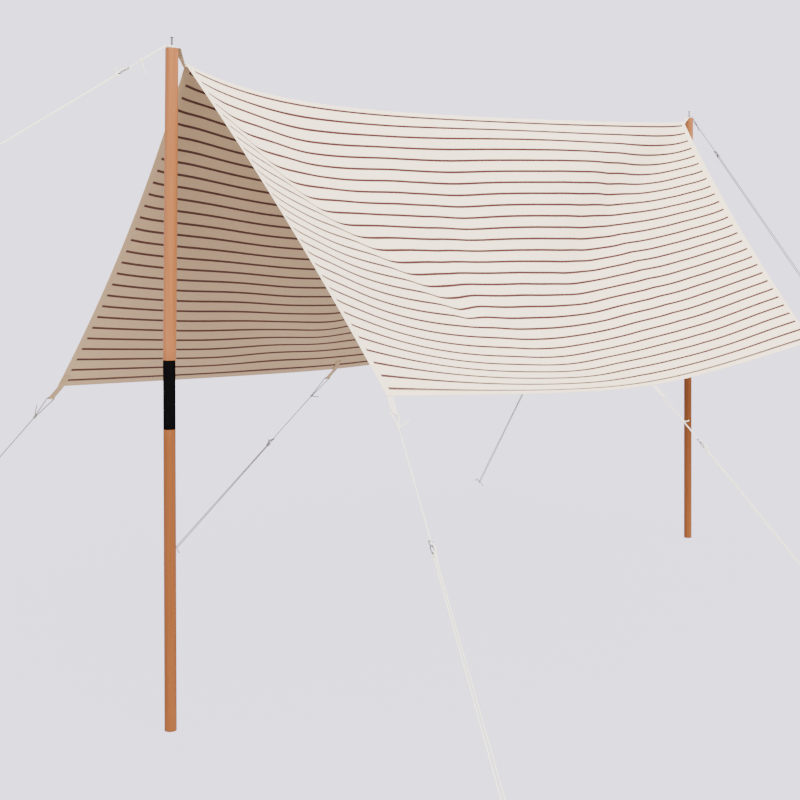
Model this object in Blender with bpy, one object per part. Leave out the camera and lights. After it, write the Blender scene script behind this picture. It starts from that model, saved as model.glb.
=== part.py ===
"""Market canopy: one striped canvas sheet pitched over two wooden poles.

Metres, +Z up. The origin is the foot of the front pole, on the ground. +X runs
along the ridge to the rear pole, -Y is the near side and +Y the far side.
Each pole is two halves in a sleeve, with a steel pin on top. Eight webbing
straps hold the sheet, and eight guy cords run from them to pegs in the ground.
"""
import math

import bpy
import numpy as np

# Poles
POLE_HEIGHT = 2.0
POLE_SPACING = 3.43
UPPER_RADIUS = 0.0193
LOWER_RADIUS = 0.0181
POLE_CHAMFER = 0.003
SLEEVE_BOTTOM = 0.883
SLEEVE_LENGTH = 0.202
SLEEVE_WALL = 0.0016
HALVES_MEET = 0.984
FRONT_TOP_LEAN = (0.0021, -0.0028)
REAR_TOP_LEAN = (0.0037, -0.0050)
FRONT_SLEEVE_BOW = (-0.0023, 0.0031)
REAR_SLEEVE_BOW = (0.0, 0.0)

# Pins on the pole tops
PIN_RADIUS = 0.003
PIN_HEIGHT = 0.030
PIN_HEAD_RADIUS = 0.006
PIN_HEAD_THICKNESS = 0.003
PIN_SHANK_DEPTH = 0.030

# Canvas sheet: its cloth, and how its ridge hangs between the two poles
SHEET_HALF_WIDTH = 1.240
SHEET_THICKNESS = 0.002
RIDGE_FRONT = (0.060, 0.0, 1.957)
RIDGE_REAR = (3.380, 0.0, 1.975)
RIDGE_SAG = 0.126
RIDGE_FALL = 0.12
RIDGE_RISE_POWER = 0.72

# Each panel of the sheet: the three points of its lower edge, how far its
# slack cloth bellies in, and how its front and rear edges bow
NEAR_PANEL = {
    "front": (-0.008, -0.818, 1.041),
    "middle": (1.742, -0.675, 0.906),
    "rear": (3.335, -0.657, 0.958),
    "belly": 0.163, "belly_to_rear": 0.30, "belly_power": 1.79,
    "front_reach": (0.114, 0.065), "rear_reach": (0.030, 0.188),
    "front_bow": 0.012, "rear_bow": 0.061, "front_billow": 0.0,
}
FAR_PANEL = {
    "front": (0.232, 0.752, 0.946),
    "middle": (1.675, 0.745, 0.881),
    "rear": (3.360, 0.700, 0.955),
    "belly": 0.080, "belly_to_rear": 0.30, "belly_power": 1.79,
    "front_reach": (0.363, 0.077), "rear_reach": (0.030, 0.188),
    "front_bow": 0.060, "rear_bow": 0.055, "front_billow": 0.045,
}
END_BELLY_POWER = 1.0
BILLOW_LENGTH = 0.3
BILLOW_POWER = 1.3
SHEET_COLUMNS = 32
SHEET_ROWS = 12

# Webbing straps
STRAP_WIDTH = 0.026
STRAP_THICKNESS = 0.0024
STRAP_TAIL = 0.045
STRAP_REACH = 0.042
STRAP_BEND = 0.018
EYE_INNER_RADIUS = 0.0026
EYE_OUTER_RADIUS = 0.0042

# Guy cords
CORD_RADIUS = 0.002
STRAND_SIDES = 8
LOOP_SIDES = 6
KNOT_RADIUS = 0.0048
KNOT_STRETCH = 1.45
TAIL_LENGTH = 0.030

# Tensioners: a figure of eight of steel bar, with a round and a long eye
TENSIONER_LENGTH = 0.040
TENSIONER_WIDTH = 0.0185
TENSIONER_BAR = 0.003
SQUARENESS = 0.8
WAIST_FROM_TOP = 0.016

# Pegs
PEG_RADIUS = 0.0035
PEG_SHANK = 0.050
PEG_HOOK_RADIUS = 0.010
PEG_LOOP_HEIGHT = 0.022
HAIRPIN_RADIUS = 0.008

# Gaps between pieces that touch, and where a strap lies under the sheet
GAP = 0.0003
SEAM_GAP = 0.0007

# Where each guy meets its peg, on the ground plan, and how far down the guy
# its upper knot and its tensioner sit
GUYS = {
    "front_ridge": {"peg": (-3.06, 1.07), "knot": 0.090, "tensioner": 0.154},
    "rear_ridge": {"peg": (6.57, -0.18), "knot": 0.062, "tensioner": 0.303},
    "near_front": {"peg": (-0.675, -1.70), "knot": 0.066, "tensioner": 0.438},
    "near_middle": {"peg": (1.67, -1.59), "knot": 0.125, "tensioner": 0.225},
    "near_rear": {"peg": (4.05, -1.62), "knot": 0.090, "tensioner": 0.300},
    "far_front": {"peg": (0.015, 1.64), "knot": 0.110, "tensioner": 0.420},
    "far_middle": {"peg": (1.74, 1.72), "knot": 0.112, "tensioner": 0.420},
    "far_rear": {"peg": (4.05, 1.60), "knot": 0.110, "tensioner": 0.220},
}


def clear_scene():
    for item in list(bpy.data.objects):
        bpy.data.objects.remove(item)


def make_material(name, colour, roughness, metallic):
    material = bpy.data.materials.new(name)
    material.use_nodes = True
    shader = material.node_tree.nodes["Principled BSDF"]
    shader.inputs["Base Color"].default_value = (*colour, 1.0)
    shader.inputs["Roughness"].default_value = roughness
    shader.inputs["Metallic"].default_value = metallic
    return material


def unit(vector):
    vector = np.asarray(vector, float)
    return vector / np.linalg.norm(vector)


def mesh_from(name, shell):
    points, faces = shell
    mesh = bpy.data.meshes.new(name)
    mesh.from_pydata([tuple(point) for point in points], [], faces)
    mesh.update()
    return mesh


def place(name, mesh, material):
    mesh.materials.clear()
    mesh.materials.append(material)
    mesh.shade_smooth()
    mesh.set_sharp_from_angle(angle=math.radians(35))
    item = bpy.data.objects.new(name, mesh)
    bpy.context.scene.collection.objects.link(item)
    return item


def skin_rings(rings, closed=False):
    """Skin a row of rings of like count; the ends are capped unless closed."""
    count = len(rings[0])
    points = np.concatenate(rings)
    faces = []
    last = len(rings) if closed else len(rings) - 1
    for i in range(last):
        here = i * count
        there = ((i + 1) % len(rings)) * count
        for j in range(count):
            k = (j + 1) % count
            faces.append((here + j, here + k, there + k, there + j))
    if not closed:
        faces.append(tuple(range(count - 1, -1, -1)))
        end = (len(rings) - 1) * count
        faces.append(tuple(range(end, end + count)))
    return points, faces


def tangents_of(points):
    points = np.asarray(points, float)
    steps = np.diff(points, axis=0)
    steps /= np.linalg.norm(steps, axis=1)[:, None]
    tangents = np.vstack([steps[:1], steps[:-1] + steps[1:], steps[-1:]])
    return tangents / np.linalg.norm(tangents, axis=1)[:, None]


def tube(points, radius, sides, ground_start=False):
    """Round bar along a path, each ring carried on from the one before."""
    points = np.asarray(points, float)
    tangents = tangents_of(points)
    side = np.cross(tangents[0], (0.0, 0.0, 1.0))
    if np.linalg.norm(side) < 0.1:
        side = np.cross(tangents[0], (0.0, 1.0, 0.0))
    side = unit(side)
    angles = np.arange(sides) * 2 * math.pi / sides
    rings = []
    for point, tangent in zip(points, tangents):
        side = unit(side - tangent * side.dot(tangent))
        other = np.cross(tangent, side)
        ring = (
            point
            + radius * np.cos(angles)[:, None] * side
            + radius * np.sin(angles)[:, None] * other
        )
        rings.append(ring)
    if ground_start:
        slide = rings[0][:, 2] / tangents[0][2]
        rings[0] = rings[0] - slide[:, None] * tangents[0]
    return skin_rings(rings)


def turned(profile, centre_at, sides=32):
    """Turn (height, radius) steps about an axis that may lean."""
    angles = np.arange(sides) * 2 * math.pi / sides
    rings = []
    for height, radius in profile:
        x, y = centre_at(height)
        ring = np.stack([
            x + radius * np.cos(angles),
            y + radius * np.sin(angles),
            np.full(sides, height),
        ], axis=1)
        rings.append(ring)
    return skin_rings(rings)


def pipe(outer, inner, low, high, centre_at, sides=32):
    """Open tube standing between two heights."""
    angles = np.arange(sides) * 2 * math.pi / sides
    rings = []
    for height, radius in ((low, outer), (high, outer), (high, inner), (low, inner)):
        x, y = centre_at(height)
        rings.append(np.stack([
            x + radius * np.cos(angles),
            y + radius * np.sin(angles),
            np.full(sides, height),
        ], axis=1))
    return skin_rings(rings, closed=True)


def ball(centre, radius, along, stretch, rows=5, sides=8):
    """Knot: a ball drawn out along a direction."""
    along = unit(along)
    side = unit(np.cross(along, (0.31, 0.47, 0.83)))
    other = np.cross(along, side)
    angles = np.arange(sides) * 2 * math.pi / sides
    rings = []
    for i in range(rows):
        polar = math.pi * (i + 0.5) / rows
        reach = -math.cos(polar) * radius * stretch
        girth = math.sin(polar) * radius
        rings.append(
            centre + along * reach
            + girth * np.cos(angles)[:, None] * side
            + girth * np.sin(angles)[:, None] * other
        )
    return skin_rings(rings)


def band(rows, normals, thickness):
    """Strip of webbing: rows of points across it, with a thickness.

    Rows run along the strip; each holds the same number of points across it.
    """
    rings = []
    for row, normal in zip(rows, normals):
        row = np.asarray(row, float)
        normal = np.asarray(normal, float)
        top = row + normal * thickness / 2
        bottom = row - normal * thickness / 2
        rings.append(np.vstack([top, bottom[::-1]]))
    points, faces = skin_rings(rings)
    across = np.asarray(rows[0][-1]) - np.asarray(rows[0][0])
    along = np.asarray(rows[1][0]) - np.asarray(rows[0][0])
    if np.dot(np.cross(across, along), np.asarray(normals[0][0])) > 0:
        faces = [face[::-1] for face in faces]
    return points, faces


def combine(name, base, others, operation):
    """Join closed shells that run into each other, or cut them away."""
    base_object = bpy.data.objects.new(name, mesh_from(name, base))
    tools = bpy.data.collections.new(name + "_tools")
    bpy.context.scene.collection.objects.link(base_object)
    bpy.context.scene.collection.children.link(tools)
    for number, shell in enumerate(others):
        tool_name = f"{name}_tool_{number}"
        tool = bpy.data.objects.new(tool_name, mesh_from(tool_name, shell))
        tools.objects.link(tool)
    step = base_object.modifiers.new("combine", "BOOLEAN")
    step.operation = operation
    step.solver = "EXACT"
    step.operand_type = "COLLECTION"
    step.collection = tools
    bpy.context.view_layer.update()
    graph = bpy.context.evaluated_depsgraph_get()
    result = bpy.data.meshes.new_from_object(base_object.evaluated_get(graph))
    for tool in list(tools.objects):
        bpy.data.objects.remove(tool)
    bpy.data.objects.remove(base_object)
    bpy.data.collections.remove(tools)
    result.name = name
    return result


def lean_line(low, high):
    """Centre of a straight leaning piece, given (x, y, z) at two heights."""
    def centre_at(height):
        share = (height - low[2]) / (high[2] - low[2])
        return (
            low[0] + (high[0] - low[0]) * share,
            low[1] + (high[1] - low[1]) * share,
        )
    return centre_at


def ridge_point(along):
    """Ridge of the sheet: it drops behind the front pole and climbs slowly."""
    front = np.array(RIDGE_FRONT)
    rear = np.array(RIDGE_REAR)
    point = front + (rear - front) * along
    drop = (1 - math.exp(-along / RIDGE_FALL)) * (1 - along) ** RIDGE_RISE_POWER
    point[2] -= RIDGE_SAG * drop
    return point


def hem_point(along, near):
    """Lower edge of one panel, through both corners and the middle strap."""
    panel = NEAR_PANEL if near else FAR_PANEL
    front, middle, rear = (np.array(panel[end]) for end in ("front", "middle", "rear"))
    if along < 0.5:
        return front + (middle - front) * along * 2
    return middle + (rear - middle) * (along - 0.5) * 2


def belly_depth(along, down, panel):
    """How far the slack cloth hangs in from a straight fall.

    The belly grows from nothing at both ends of the panel, over a reach that
    widens down the panel. It is deepest low down in the middle of the panel
    and high up near its ends. The front edge may billow out a little.
    """
    growth = []
    for share, reach in ((along, panel["front_reach"]), (1 - along, panel["rear_reach"])):
        growth.append(1 - math.exp(-share / (reach[0] + reach[1] * down)))
    middle_power = panel["belly_power"]
    power = middle_power + (END_BELLY_POWER - middle_power) * (2 * along - 1) ** 2
    depth = panel["belly"] * (1 + panel["belly_to_rear"] * (along - 0.5))
    belly = depth * growth[0] * growth[1] * math.sin(math.pi * down ** power)
    billow = math.exp(-along / BILLOW_LENGTH) * math.sin(math.pi * down ** BILLOW_POWER)
    return belly - panel["front_billow"] * billow


def sheet_point(along, down, near):
    """Middle of the cloth: along the ridge, and down one panel from it."""
    panel = NEAR_PANEL if near else FAR_PANEL
    ridge = ridge_point(along)
    hem = hem_point(along, near)
    point = ridge + (hem - ridge) * down
    bow = panel["front_bow"] * (1 - along) ** 6 - panel["rear_bow"] * along ** 6
    point[0] += bow * 4 * down * (1 - down)
    slope = unit(hem - ridge)
    inward = np.array([0.0, -slope[2], slope[1]])
    if inward[2] > 0:
        inward = -inward
    return point + inward * belly_depth(along, down, panel)


def sheet_normal(along, down, near):
    """Outward (upper) normal of the cloth."""
    step = 1e-3
    low_a, high_a = max(along - step, 0.0), min(along + step, 1.0)
    low_d, high_d = max(down - step, 0.0), min(down + step, 1.0)
    run = sheet_point(high_a, down, near) - sheet_point(low_a, down, near)
    fall = sheet_point(along, high_d, near) - sheet_point(along, low_d, near)
    normal = unit(np.cross(run, fall))
    return normal if normal[2] > 0 else -normal


def closer_at_ends(count):
    """Shares from 0 to 1 that crowd towards both ends."""
    return 0.5 - 0.5 * np.cos(np.linspace(0.0, math.pi, count + 1))


def canvas_shell():
    """The whole sheet, from the near hem over the ridge to the far hem."""
    columns = closer_at_ends(SHEET_COLUMNS)
    downs = closer_at_ends(SHEET_ROWS)
    across = [(down, True) for down in downs[::-1]]
    across += [(down, False) for down in downs[1:]]
    tops, bottoms = [], []
    for along in columns:
        for down, near in across:
            point = sheet_point(along, down, near)
            normal = sheet_normal(along, down, near)
            if down == 0.0:
                normal = unit(
                    sheet_normal(along, 0.0, True) + sheet_normal(along, 0.0, False)
                )
            tops.append(point + normal * SHEET_THICKNESS / 2)
            bottoms.append(point - normal * SHEET_THICKNESS / 2)
    wide = len(across)
    long = len(columns)
    count = wide * long
    faces = []
    for i in range(long - 1):
        for j in range(wide - 1):
            a = i * wide + j
            b, c, d = a + wide, a + wide + 1, a + 1
            faces.append((a, b, c, d))
            faces.append((count + d, count + c, count + b, count + a))
    border = [j for j in range(wide)]
    border += [i * wide + wide - 1 for i in range(1, long)]
    border += [(long - 1) * wide + j for j in range(wide - 2, -1, -1)]
    border += [i * wide for i in range(long - 2, 0, -1)]
    for here, there in zip(border, border[1:] + border[:1]):
        faces.append((here, there, count + there, count + here))
    return np.array(tops + bottoms), faces


def under_sheet(inside, offset, near):
    """Point on the strap's middle under the sheet, offset from (along, down).

    The offset is a vector in space. It is turned into steps along and down
    the sheet; what runs past the sheet's edge goes straight on.
    """
    along, down = inside
    step = 0.004
    run = (sheet_point(min(along + step, 1.0), down, near)
           - sheet_point(max(along - step, 0.0), down, near))
    run /= min(along + step, 1.0) - max(along - step, 0.0)
    fall = (sheet_point(along, down, near) - sheet_point(along, down - step, near)) / step
    steps = np.linalg.lstsq(np.stack([run, fall], axis=1), offset, rcond=None)[0]
    held = (min(max(along + steps[0], 0.0), 1.0), min(max(down + steps[1], 0.0), 1.0))
    beyond = (along + steps[0] - held[0]) * run + (down + steps[1] - held[1]) * fall
    normal = sheet_normal(*held, near)
    depth = SHEET_THICKNESS / 2 + SEAM_GAP + STRAP_THICKNESS / 2
    return sheet_point(*held, near) + beyond - normal * depth, normal


def strap_frame(name):
    """Where a side strap leaves the sheet, and how it runs to its guy."""
    near = name.startswith("near")
    along = {"front": 0.0, "middle": 0.5, "rear": 1.0}[name.split("_")[1]]
    inside = (along, 1.0)
    normal = sheet_normal(*inside, near)
    corner = under_sheet(inside, np.zeros(3), near)[0]
    peg = np.array([*GUYS[name]["peg"], PEG_LOOP_HEIGHT])
    towards = unit(peg - corner)
    leave = unit(towards - normal * towards.dot(normal))
    bend = corner + leave * STRAP_BEND
    along_guy = unit(peg - bend)
    return {
        "near": near, "inside": inside, "normal": normal, "leave": leave,
        "bend": bend, "along": along_guy, "across": unit(np.cross(normal, leave)),
        "eye": bend + along_guy * (STRAP_REACH - STRAP_BEND),
    }


def side_strap(name):
    """Flat strap sewn under the sheet, with a sewn eye for the guy's loop."""
    frame = strap_frame(name)
    half = STRAP_WIDTH / 2 * frame["across"]
    rows, normals = [], []
    for share in (1.0, 0.75, 0.5, 0.25, 0.0):
        back = -frame["leave"] * STRAP_TAIL * share
        spots = [
            under_sheet(frame["inside"], back + side, frame["near"])
            for side in (-half, np.zeros(3), half)
        ]
        rows.append([spot[0] for spot in spots])
        normals.append([spot[1] for spot in spots])
    end = frame["eye"] - frame["along"] * (EYE_OUTER_RADIUS - 0.0009)
    flat = unit(np.cross(frame["along"], frame["across"]))
    for centre, normal in ((frame["bend"], frame["normal"]), (end, flat)):
        rows.append([centre - half, centre, centre + half])
        normals.append([normal] * 3)
    strip = band(rows, normals, STRAP_THICKNESS)
    return combine(name + "_strap", strip, [eye_shell(frame)], "UNION")


def eye_shell(frame):
    """Sewn eye: a round sleeve across the end of a strap."""
    sides = 16
    angles = np.arange(sides) * 2 * math.pi / sides
    across = frame["across"]
    side = frame["along"]
    other = np.cross(across, side)
    rings = []
    for radius, end in (
        (EYE_OUTER_RADIUS, -0.5), (EYE_OUTER_RADIUS, 0.5),
        (EYE_INNER_RADIUS, 0.5), (EYE_INNER_RADIUS, -0.5),
    ):
        rings.append(
            frame["eye"] + across * STRAP_WIDTH * end
            + radius * np.cos(angles)[:, None] * side
            + radius * np.sin(angles)[:, None] * other
        )
    return skin_rings(rings, closed=True)


def pole_top(front):
    lean = FRONT_TOP_LEAN if front else REAR_TOP_LEAN
    x = 0.0 if front else POLE_SPACING
    return np.array([x + lean[0], lean[1], POLE_HEIGHT])


def under_ridge(step, front):
    """Row of a ridge strap folded under the sheet's ridge, step from its end."""
    sign = 1.0 if front else -1.0
    along = (0.0 if front else 1.0) + sign * step / (RIDGE_REAR[0] - RIDGE_FRONT[0])
    down = STRAP_WIDTH / 2 / SHEET_HALF_WIDTH
    depth = SHEET_THICKNESS / 2 + SEAM_GAP + STRAP_THICKNESS / 2
    near_normal = sheet_normal(along, down, True)
    far_normal = sheet_normal(along, down, False)
    up = unit(near_normal + far_normal)
    row = np.array([
        sheet_point(along, down, True) - near_normal * depth,
        ridge_point(along) - up * depth / up.dot(near_normal),
        sheet_point(along, down, False) - far_normal * depth,
    ])
    return row, np.array([near_normal, up, far_normal])


def ridge_strap(front):
    """Strap from the ridge's end over the pole top, with a hole for the pin."""
    name = "front_ridge_strap" if front else "rear_ridge_strap"
    top = pole_top(front)
    sign = 1.0 if front else -1.0
    lie = GAP + STRAP_THICKNESS / 2
    side = np.array([[0.0, -1.0, 0.0], [0.0, 0.0, 0.0], [0.0, 1.0, 0.0]]) * STRAP_WIDTH / 2
    rows = [top + np.array([sign * run, 0.0, lie]) + side for run in (-0.012, 0.0, 0.018)]
    normals = [np.tile((0.0, 0.0, 1.0), (3, 1)) for row in rows]
    inner, inner_normals = under_ridge(0.035, front)
    outer, outer_normals = under_ridge(0.004, front)
    mouth = outer - (inner - outer) * (0.010 / 0.031)
    rim = top + np.array([sign * 0.0235, 0.0, lie - 0.0015]) + side
    rim_normal = unit([sign * 0.55, 0.0, 0.84])
    for share in (0.0, 0.5):
        rows.append(rim + (mouth - rim) * share)
        blend = rim_normal * (1 - share) + outer_normals * share
        normals.append(blend / np.linalg.norm(blend, axis=1)[:, None])
    rows += [mouth, outer, inner]
    normals += [outer_normals, outer_normals, inner_normals]
    strip = band(rows, normals, STRAP_THICKNESS)
    hole_radius = PIN_RADIUS + 0.0005
    hole = turned(
        ((POLE_HEIGHT - 0.004, hole_radius), (POLE_HEIGHT + 0.008, hole_radius)),
        lambda height: (top[0], top[1]), sides=16,
    )
    return name, combine(name, strip, [hole], "DIFFERENCE")


def guy_frame(name):
    """Directions of one guy: down its length, across it and out of both."""
    if "ridge" in name:
        front = name.startswith("front")
        top = pole_top(front)
        level = GAP + STRAP_THICKNESS + GAP + CORD_RADIUS
        start = top + np.array([0.0, 0.0, level])
        peg = np.array([*GUYS[name]["peg"], PEG_LOOP_HEIGHT])
        away = unit([peg[0] - start[0], peg[1] - start[1], 0.0])
        rim = start + away * 0.0205
        along = unit(peg - rim)
        across = unit(np.cross(away, (0.0, 0.0, 1.0)))
        return {"start": rim, "peg": peg, "along": along, "across": across,
                "pin": start, "away": away}
    frame = strap_frame(name)
    peg = np.array([*GUYS[name]["peg"], PEG_LOOP_HEIGHT])
    along = unit(peg - frame["eye"])
    across = unit(frame["across"] - along * frame["across"].dot(along))
    return {"start": frame["eye"], "peg": peg, "along": along, "across": across}


def guy_loop(frame, knot):
    """Upper loop of a guy, round the pin or through the strap's eye."""
    along, across = frame["along"], frame["across"]
    ends = 0.0022
    if "pin" in frame:
        ring = PIN_RADIUS + GAP + CORD_RADIUS + 0.0004
        centre = frame["pin"]
        away = frame["away"]
        path = [knot - along * 0.002 - across * ends]
        path.append(frame["start"] + along * 0.004 - across * ring * 0.95)
        path.append(frame["start"] - across * ring)
        for degrees in (0, 36, 72, 108, 144, 180):
            turn = math.radians(degrees)
            path.append(
                centre - across * ring * math.cos(turn) - away * ring * math.sin(turn)
            )
        path.append(frame["start"] + across * ring)
        path.append(frame["start"] + along * 0.004 + across * ring * 0.95)
        path.append(knot - along * 0.002 + across * ends)
        return tube(path, CORD_RADIUS, LOOP_SIDES)
    half = STRAP_WIDTH / 2 + 0.0032
    start = frame["start"]
    path = [knot - along * 0.002 - across * ends]
    path.append(start + along * 0.006 - across * half)
    path.append(start + along * 0.0015 - across * (half - 0.0006))
    path.append(start - across * (half - 0.0026))
    path.append(start + across * (half - 0.0026))
    path.append(start + along * 0.0015 + across * (half - 0.0006))
    path.append(start + along * 0.006 + across * half)
    path.append(knot - along * 0.002 + across * ends)
    return tube(path, CORD_RADIUS, LOOP_SIDES)


def strand_side():
    """Half the distance between two strands that pass the tensioner."""
    return CORD_RADIUS + 0.0006


def guy_cord(name):
    """One guy: loop, knot and tail, strand to the peg and back to its knot."""
    frame = guy_frame(name)
    along, across = frame["along"], frame["across"]
    out = np.cross(along, across)
    if out[2] < 0:
        out = -out
    knot = frame["start"] + along * GUYS[name]["knot"]
    middle = frame["start"] + along * GUYS[name]["tensioner"]
    top = -TENSIONER_LENGTH / 2
    waist = top + WAIST_FROM_TOP
    low = TENSIONER_LENGTH / 2
    lift = TENSIONER_BAR / 2 + CORD_RADIUS + 0.0010
    right = across * strand_side()
    path = [knot + along * 0.001]
    path += [
        middle + along * (top - 0.012) + right * 0.5,
        middle + along * (top - 0.002) + right - out * lift,
        middle + along * (top + TENSIONER_BAR) + right - out * lift,
        middle + along * (waist - TENSIONER_BAR / 2) + right + out * lift,
        middle + along * (low + 0.002) + right + out * lift,
        middle + along * (low + 0.020) + right * 1.3,
    ]
    bend = frame["peg"] + along * (PEG_RADIUS + GAP + CORD_RADIUS - HAIRPIN_RADIUS)
    for degrees in (0, 45, 90, 135, 180):
        turn = math.radians(degrees)
        path.append(
            bend + across * HAIRPIN_RADIUS * math.cos(turn)
            + along * HAIRPIN_RADIUS * math.sin(turn)
        )
    low_knot = middle + along * (low + 0.012) - across * 0.0050
    path.append(low_knot + along * 0.002)
    strand = tube(path, CORD_RADIUS, STRAND_SIDES)
    bar = middle + along * (low - TENSIONER_BAR / 2) - right
    reach = TENSIONER_BAR / 2 + GAP + CORD_RADIUS + 0.0006
    lower_loop = tube([
        low_knot - along * 0.001 - out * 0.0021,
        bar + along * 0.001 - out * reach,
        bar - along * 0.0030 - out * reach * 0.80,
        bar - along * reach,
        bar - along * 0.0030 + out * reach * 0.80,
        bar + along * 0.001 + out * reach,
        low_knot - along * 0.001 + out * 0.0021,
    ], CORD_RADIUS, LOOP_SIDES)
    upper_tail = tube([
        knot, knot + (out * 0.8 + across * 0.5) * TAIL_LENGTH * 0.5,
        knot + (out * 0.8 + across * 0.55 - along * 0.3) * TAIL_LENGTH,
    ], CORD_RADIUS, LOOP_SIDES)
    lower_tail = tube([
        low_knot, low_knot + (out * 0.8 - across * 0.5) * TAIL_LENGTH * 0.4,
        low_knot + (out * 0.9 - across * 0.5 - along * 0.5) * TAIL_LENGTH * 0.8,
    ], CORD_RADIUS, LOOP_SIDES)
    return combine(name + "_guy", strand, [
        guy_loop(frame, knot),
        ball(knot, KNOT_RADIUS, along, KNOT_STRETCH),
        upper_tail,
        ball(low_knot, KNOT_RADIUS, along, 1.0),
        lower_loop,
        lower_tail,
    ], "UNION")


def tensioner(name):
    """Figure of eight of steel bar: a round eye over a long eye."""
    frame = guy_frame(name)
    along, across = frame["along"], frame["across"]
    out = np.cross(along, across)
    middle = frame["start"] + along * GUYS[name]["tensioner"]
    bar = TENSIONER_BAR / 2
    top = -TENSIONER_LENGTH / 2
    waist = top + WAIST_FROM_TOP - bar
    low = TENSIONER_LENGTH / 2

    def ring(start, end, width, bar, turn):
        sides = 16
        centre = middle + along * (start + end) / 2
        length = (end - start) / 2 - bar
        half = width / 2 - bar
        turns = np.arange(sides) * 2 * math.pi / sides
        fall = np.sign(np.cos(turns)) * np.abs(np.cos(turns)) ** SQUARENESS
        swing = np.sign(np.sin(turns)) * np.abs(np.sin(turns)) ** SQUARENESS
        path = centre + length * fall[:, None] * along + half * swing[:, None] * across
        steps = np.roll(path, -1, axis=0) - np.roll(path, 1, axis=0)
        rings = []
        for point, step in zip(path, steps):
            side = unit(np.cross(unit(step), out))
            angles = turn + np.arange(6) * math.pi / 3
            rings.append(
                point
                + bar * np.cos(angles)[:, None] * side
                + bar * np.sin(angles)[:, None] * out
            )
        return skin_rings(rings, closed=True)

    upper = ring(top, waist + 1.3 * bar, TENSIONER_WIDTH - 0.001, bar * 0.93, 0.2)
    lower = ring(waist, low, TENSIONER_WIDTH, bar, 0.0)
    return combine(name + "_tensioner", lower, [upper], "UNION")


def peg(name):
    """Steel peg from the ground up, leaning away, with a hook at its top."""
    frame = guy_frame(name)
    along = frame["along"]
    across = frame["across"]
    lean = np.cross(across, along)
    if lean[2] < 0:
        lean = -lean
    centre = frame["peg"]
    foot = centre - lean * centre[2] / lean[2]
    shank_top = foot + lean * PEG_SHANK
    away = unit(along)
    path = [foot, foot + lean * PEG_SHANK * 0.5, shank_top]
    hook = shank_top + away * PEG_HOOK_RADIUS
    for degrees in (30, 60, 90, 120, 150):
        turn = math.radians(degrees)
        path.append(
            hook - away * PEG_HOOK_RADIUS * math.cos(turn)
            + lean * PEG_HOOK_RADIUS * math.sin(turn)
        )
    return tube(path, PEG_RADIUS, sides=12, ground_start=True)


def make_pole(front, materials):
    """Two wooden halves that meet in a sleeve, and the pin on top."""
    label = "front" if front else "rear"
    x = 0.0 if front else POLE_SPACING
    bow = FRONT_SLEEVE_BOW if front else REAR_SLEEVE_BOW
    foot = (x, 0.0, 0.0)
    meet = (x + bow[0], bow[1], HALVES_MEET)
    top = tuple(pole_top(front))
    lower_line = lean_line(foot, meet)
    upper_line = lean_line(meet, top)
    sleeve_top = SLEEVE_BOTTOM + SLEEVE_LENGTH
    spigot = LOWER_RADIUS - SLEEVE_WALL - GAP
    lower = turned((
        (0.0, LOWER_RADIUS - POLE_CHAMFER * 0.5),
        (POLE_CHAMFER, LOWER_RADIUS),
        (SLEEVE_BOTTOM - GAP, LOWER_RADIUS),
        (SLEEVE_BOTTOM - GAP, spigot),
        (HALVES_MEET - GAP / 2, spigot),
    ), lower_line)
    upper = turned((
        (HALVES_MEET + GAP / 2, spigot - 0.0012),
        (sleeve_top + GAP, spigot - 0.0012),
        (sleeve_top + GAP, UPPER_RADIUS),
        (POLE_HEIGHT - POLE_CHAMFER, UPPER_RADIUS),
        (POLE_HEIGHT, UPPER_RADIUS - POLE_CHAMFER),
    ), upper_line)
    sleeve = pipe(
        LOWER_RADIUS, LOWER_RADIUS - SLEEVE_WALL, SLEEVE_BOTTOM, sleeve_top,
        lower_line,
    )
    pin_line = lean_line((top[0], top[1], 0.0), (top[0], top[1], 1.0))
    pin = turned((
        (POLE_HEIGHT - PIN_SHANK_DEPTH, PIN_RADIUS),
        (POLE_HEIGHT + PIN_HEIGHT, PIN_RADIUS),
        (POLE_HEIGHT + PIN_HEIGHT, PIN_HEAD_RADIUS),
        (POLE_HEIGHT + PIN_HEIGHT + PIN_HEAD_THICKNESS, PIN_HEAD_RADIUS * 0.9),
    ), pin_line, sides=16)
    socket = turned((
        (POLE_HEIGHT - PIN_SHANK_DEPTH - GAP, PIN_RADIUS + GAP),
        (POLE_HEIGHT + 0.01, PIN_RADIUS + GAP),
    ), pin_line, sides=16)
    place(label + "_pole_lower", mesh_from(label + "_pole_lower", lower), materials["wood"])
    place(label + "_pole_upper", combine(label + "_pole_upper", upper, [socket], "DIFFERENCE"),
          materials["wood"])
    place(label + "_pole_sleeve", mesh_from(label + "_pole_sleeve", sleeve), materials["sleeve"])
    place(label + "_pole_pin", mesh_from(label + "_pole_pin", pin), materials["steel"])


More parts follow.
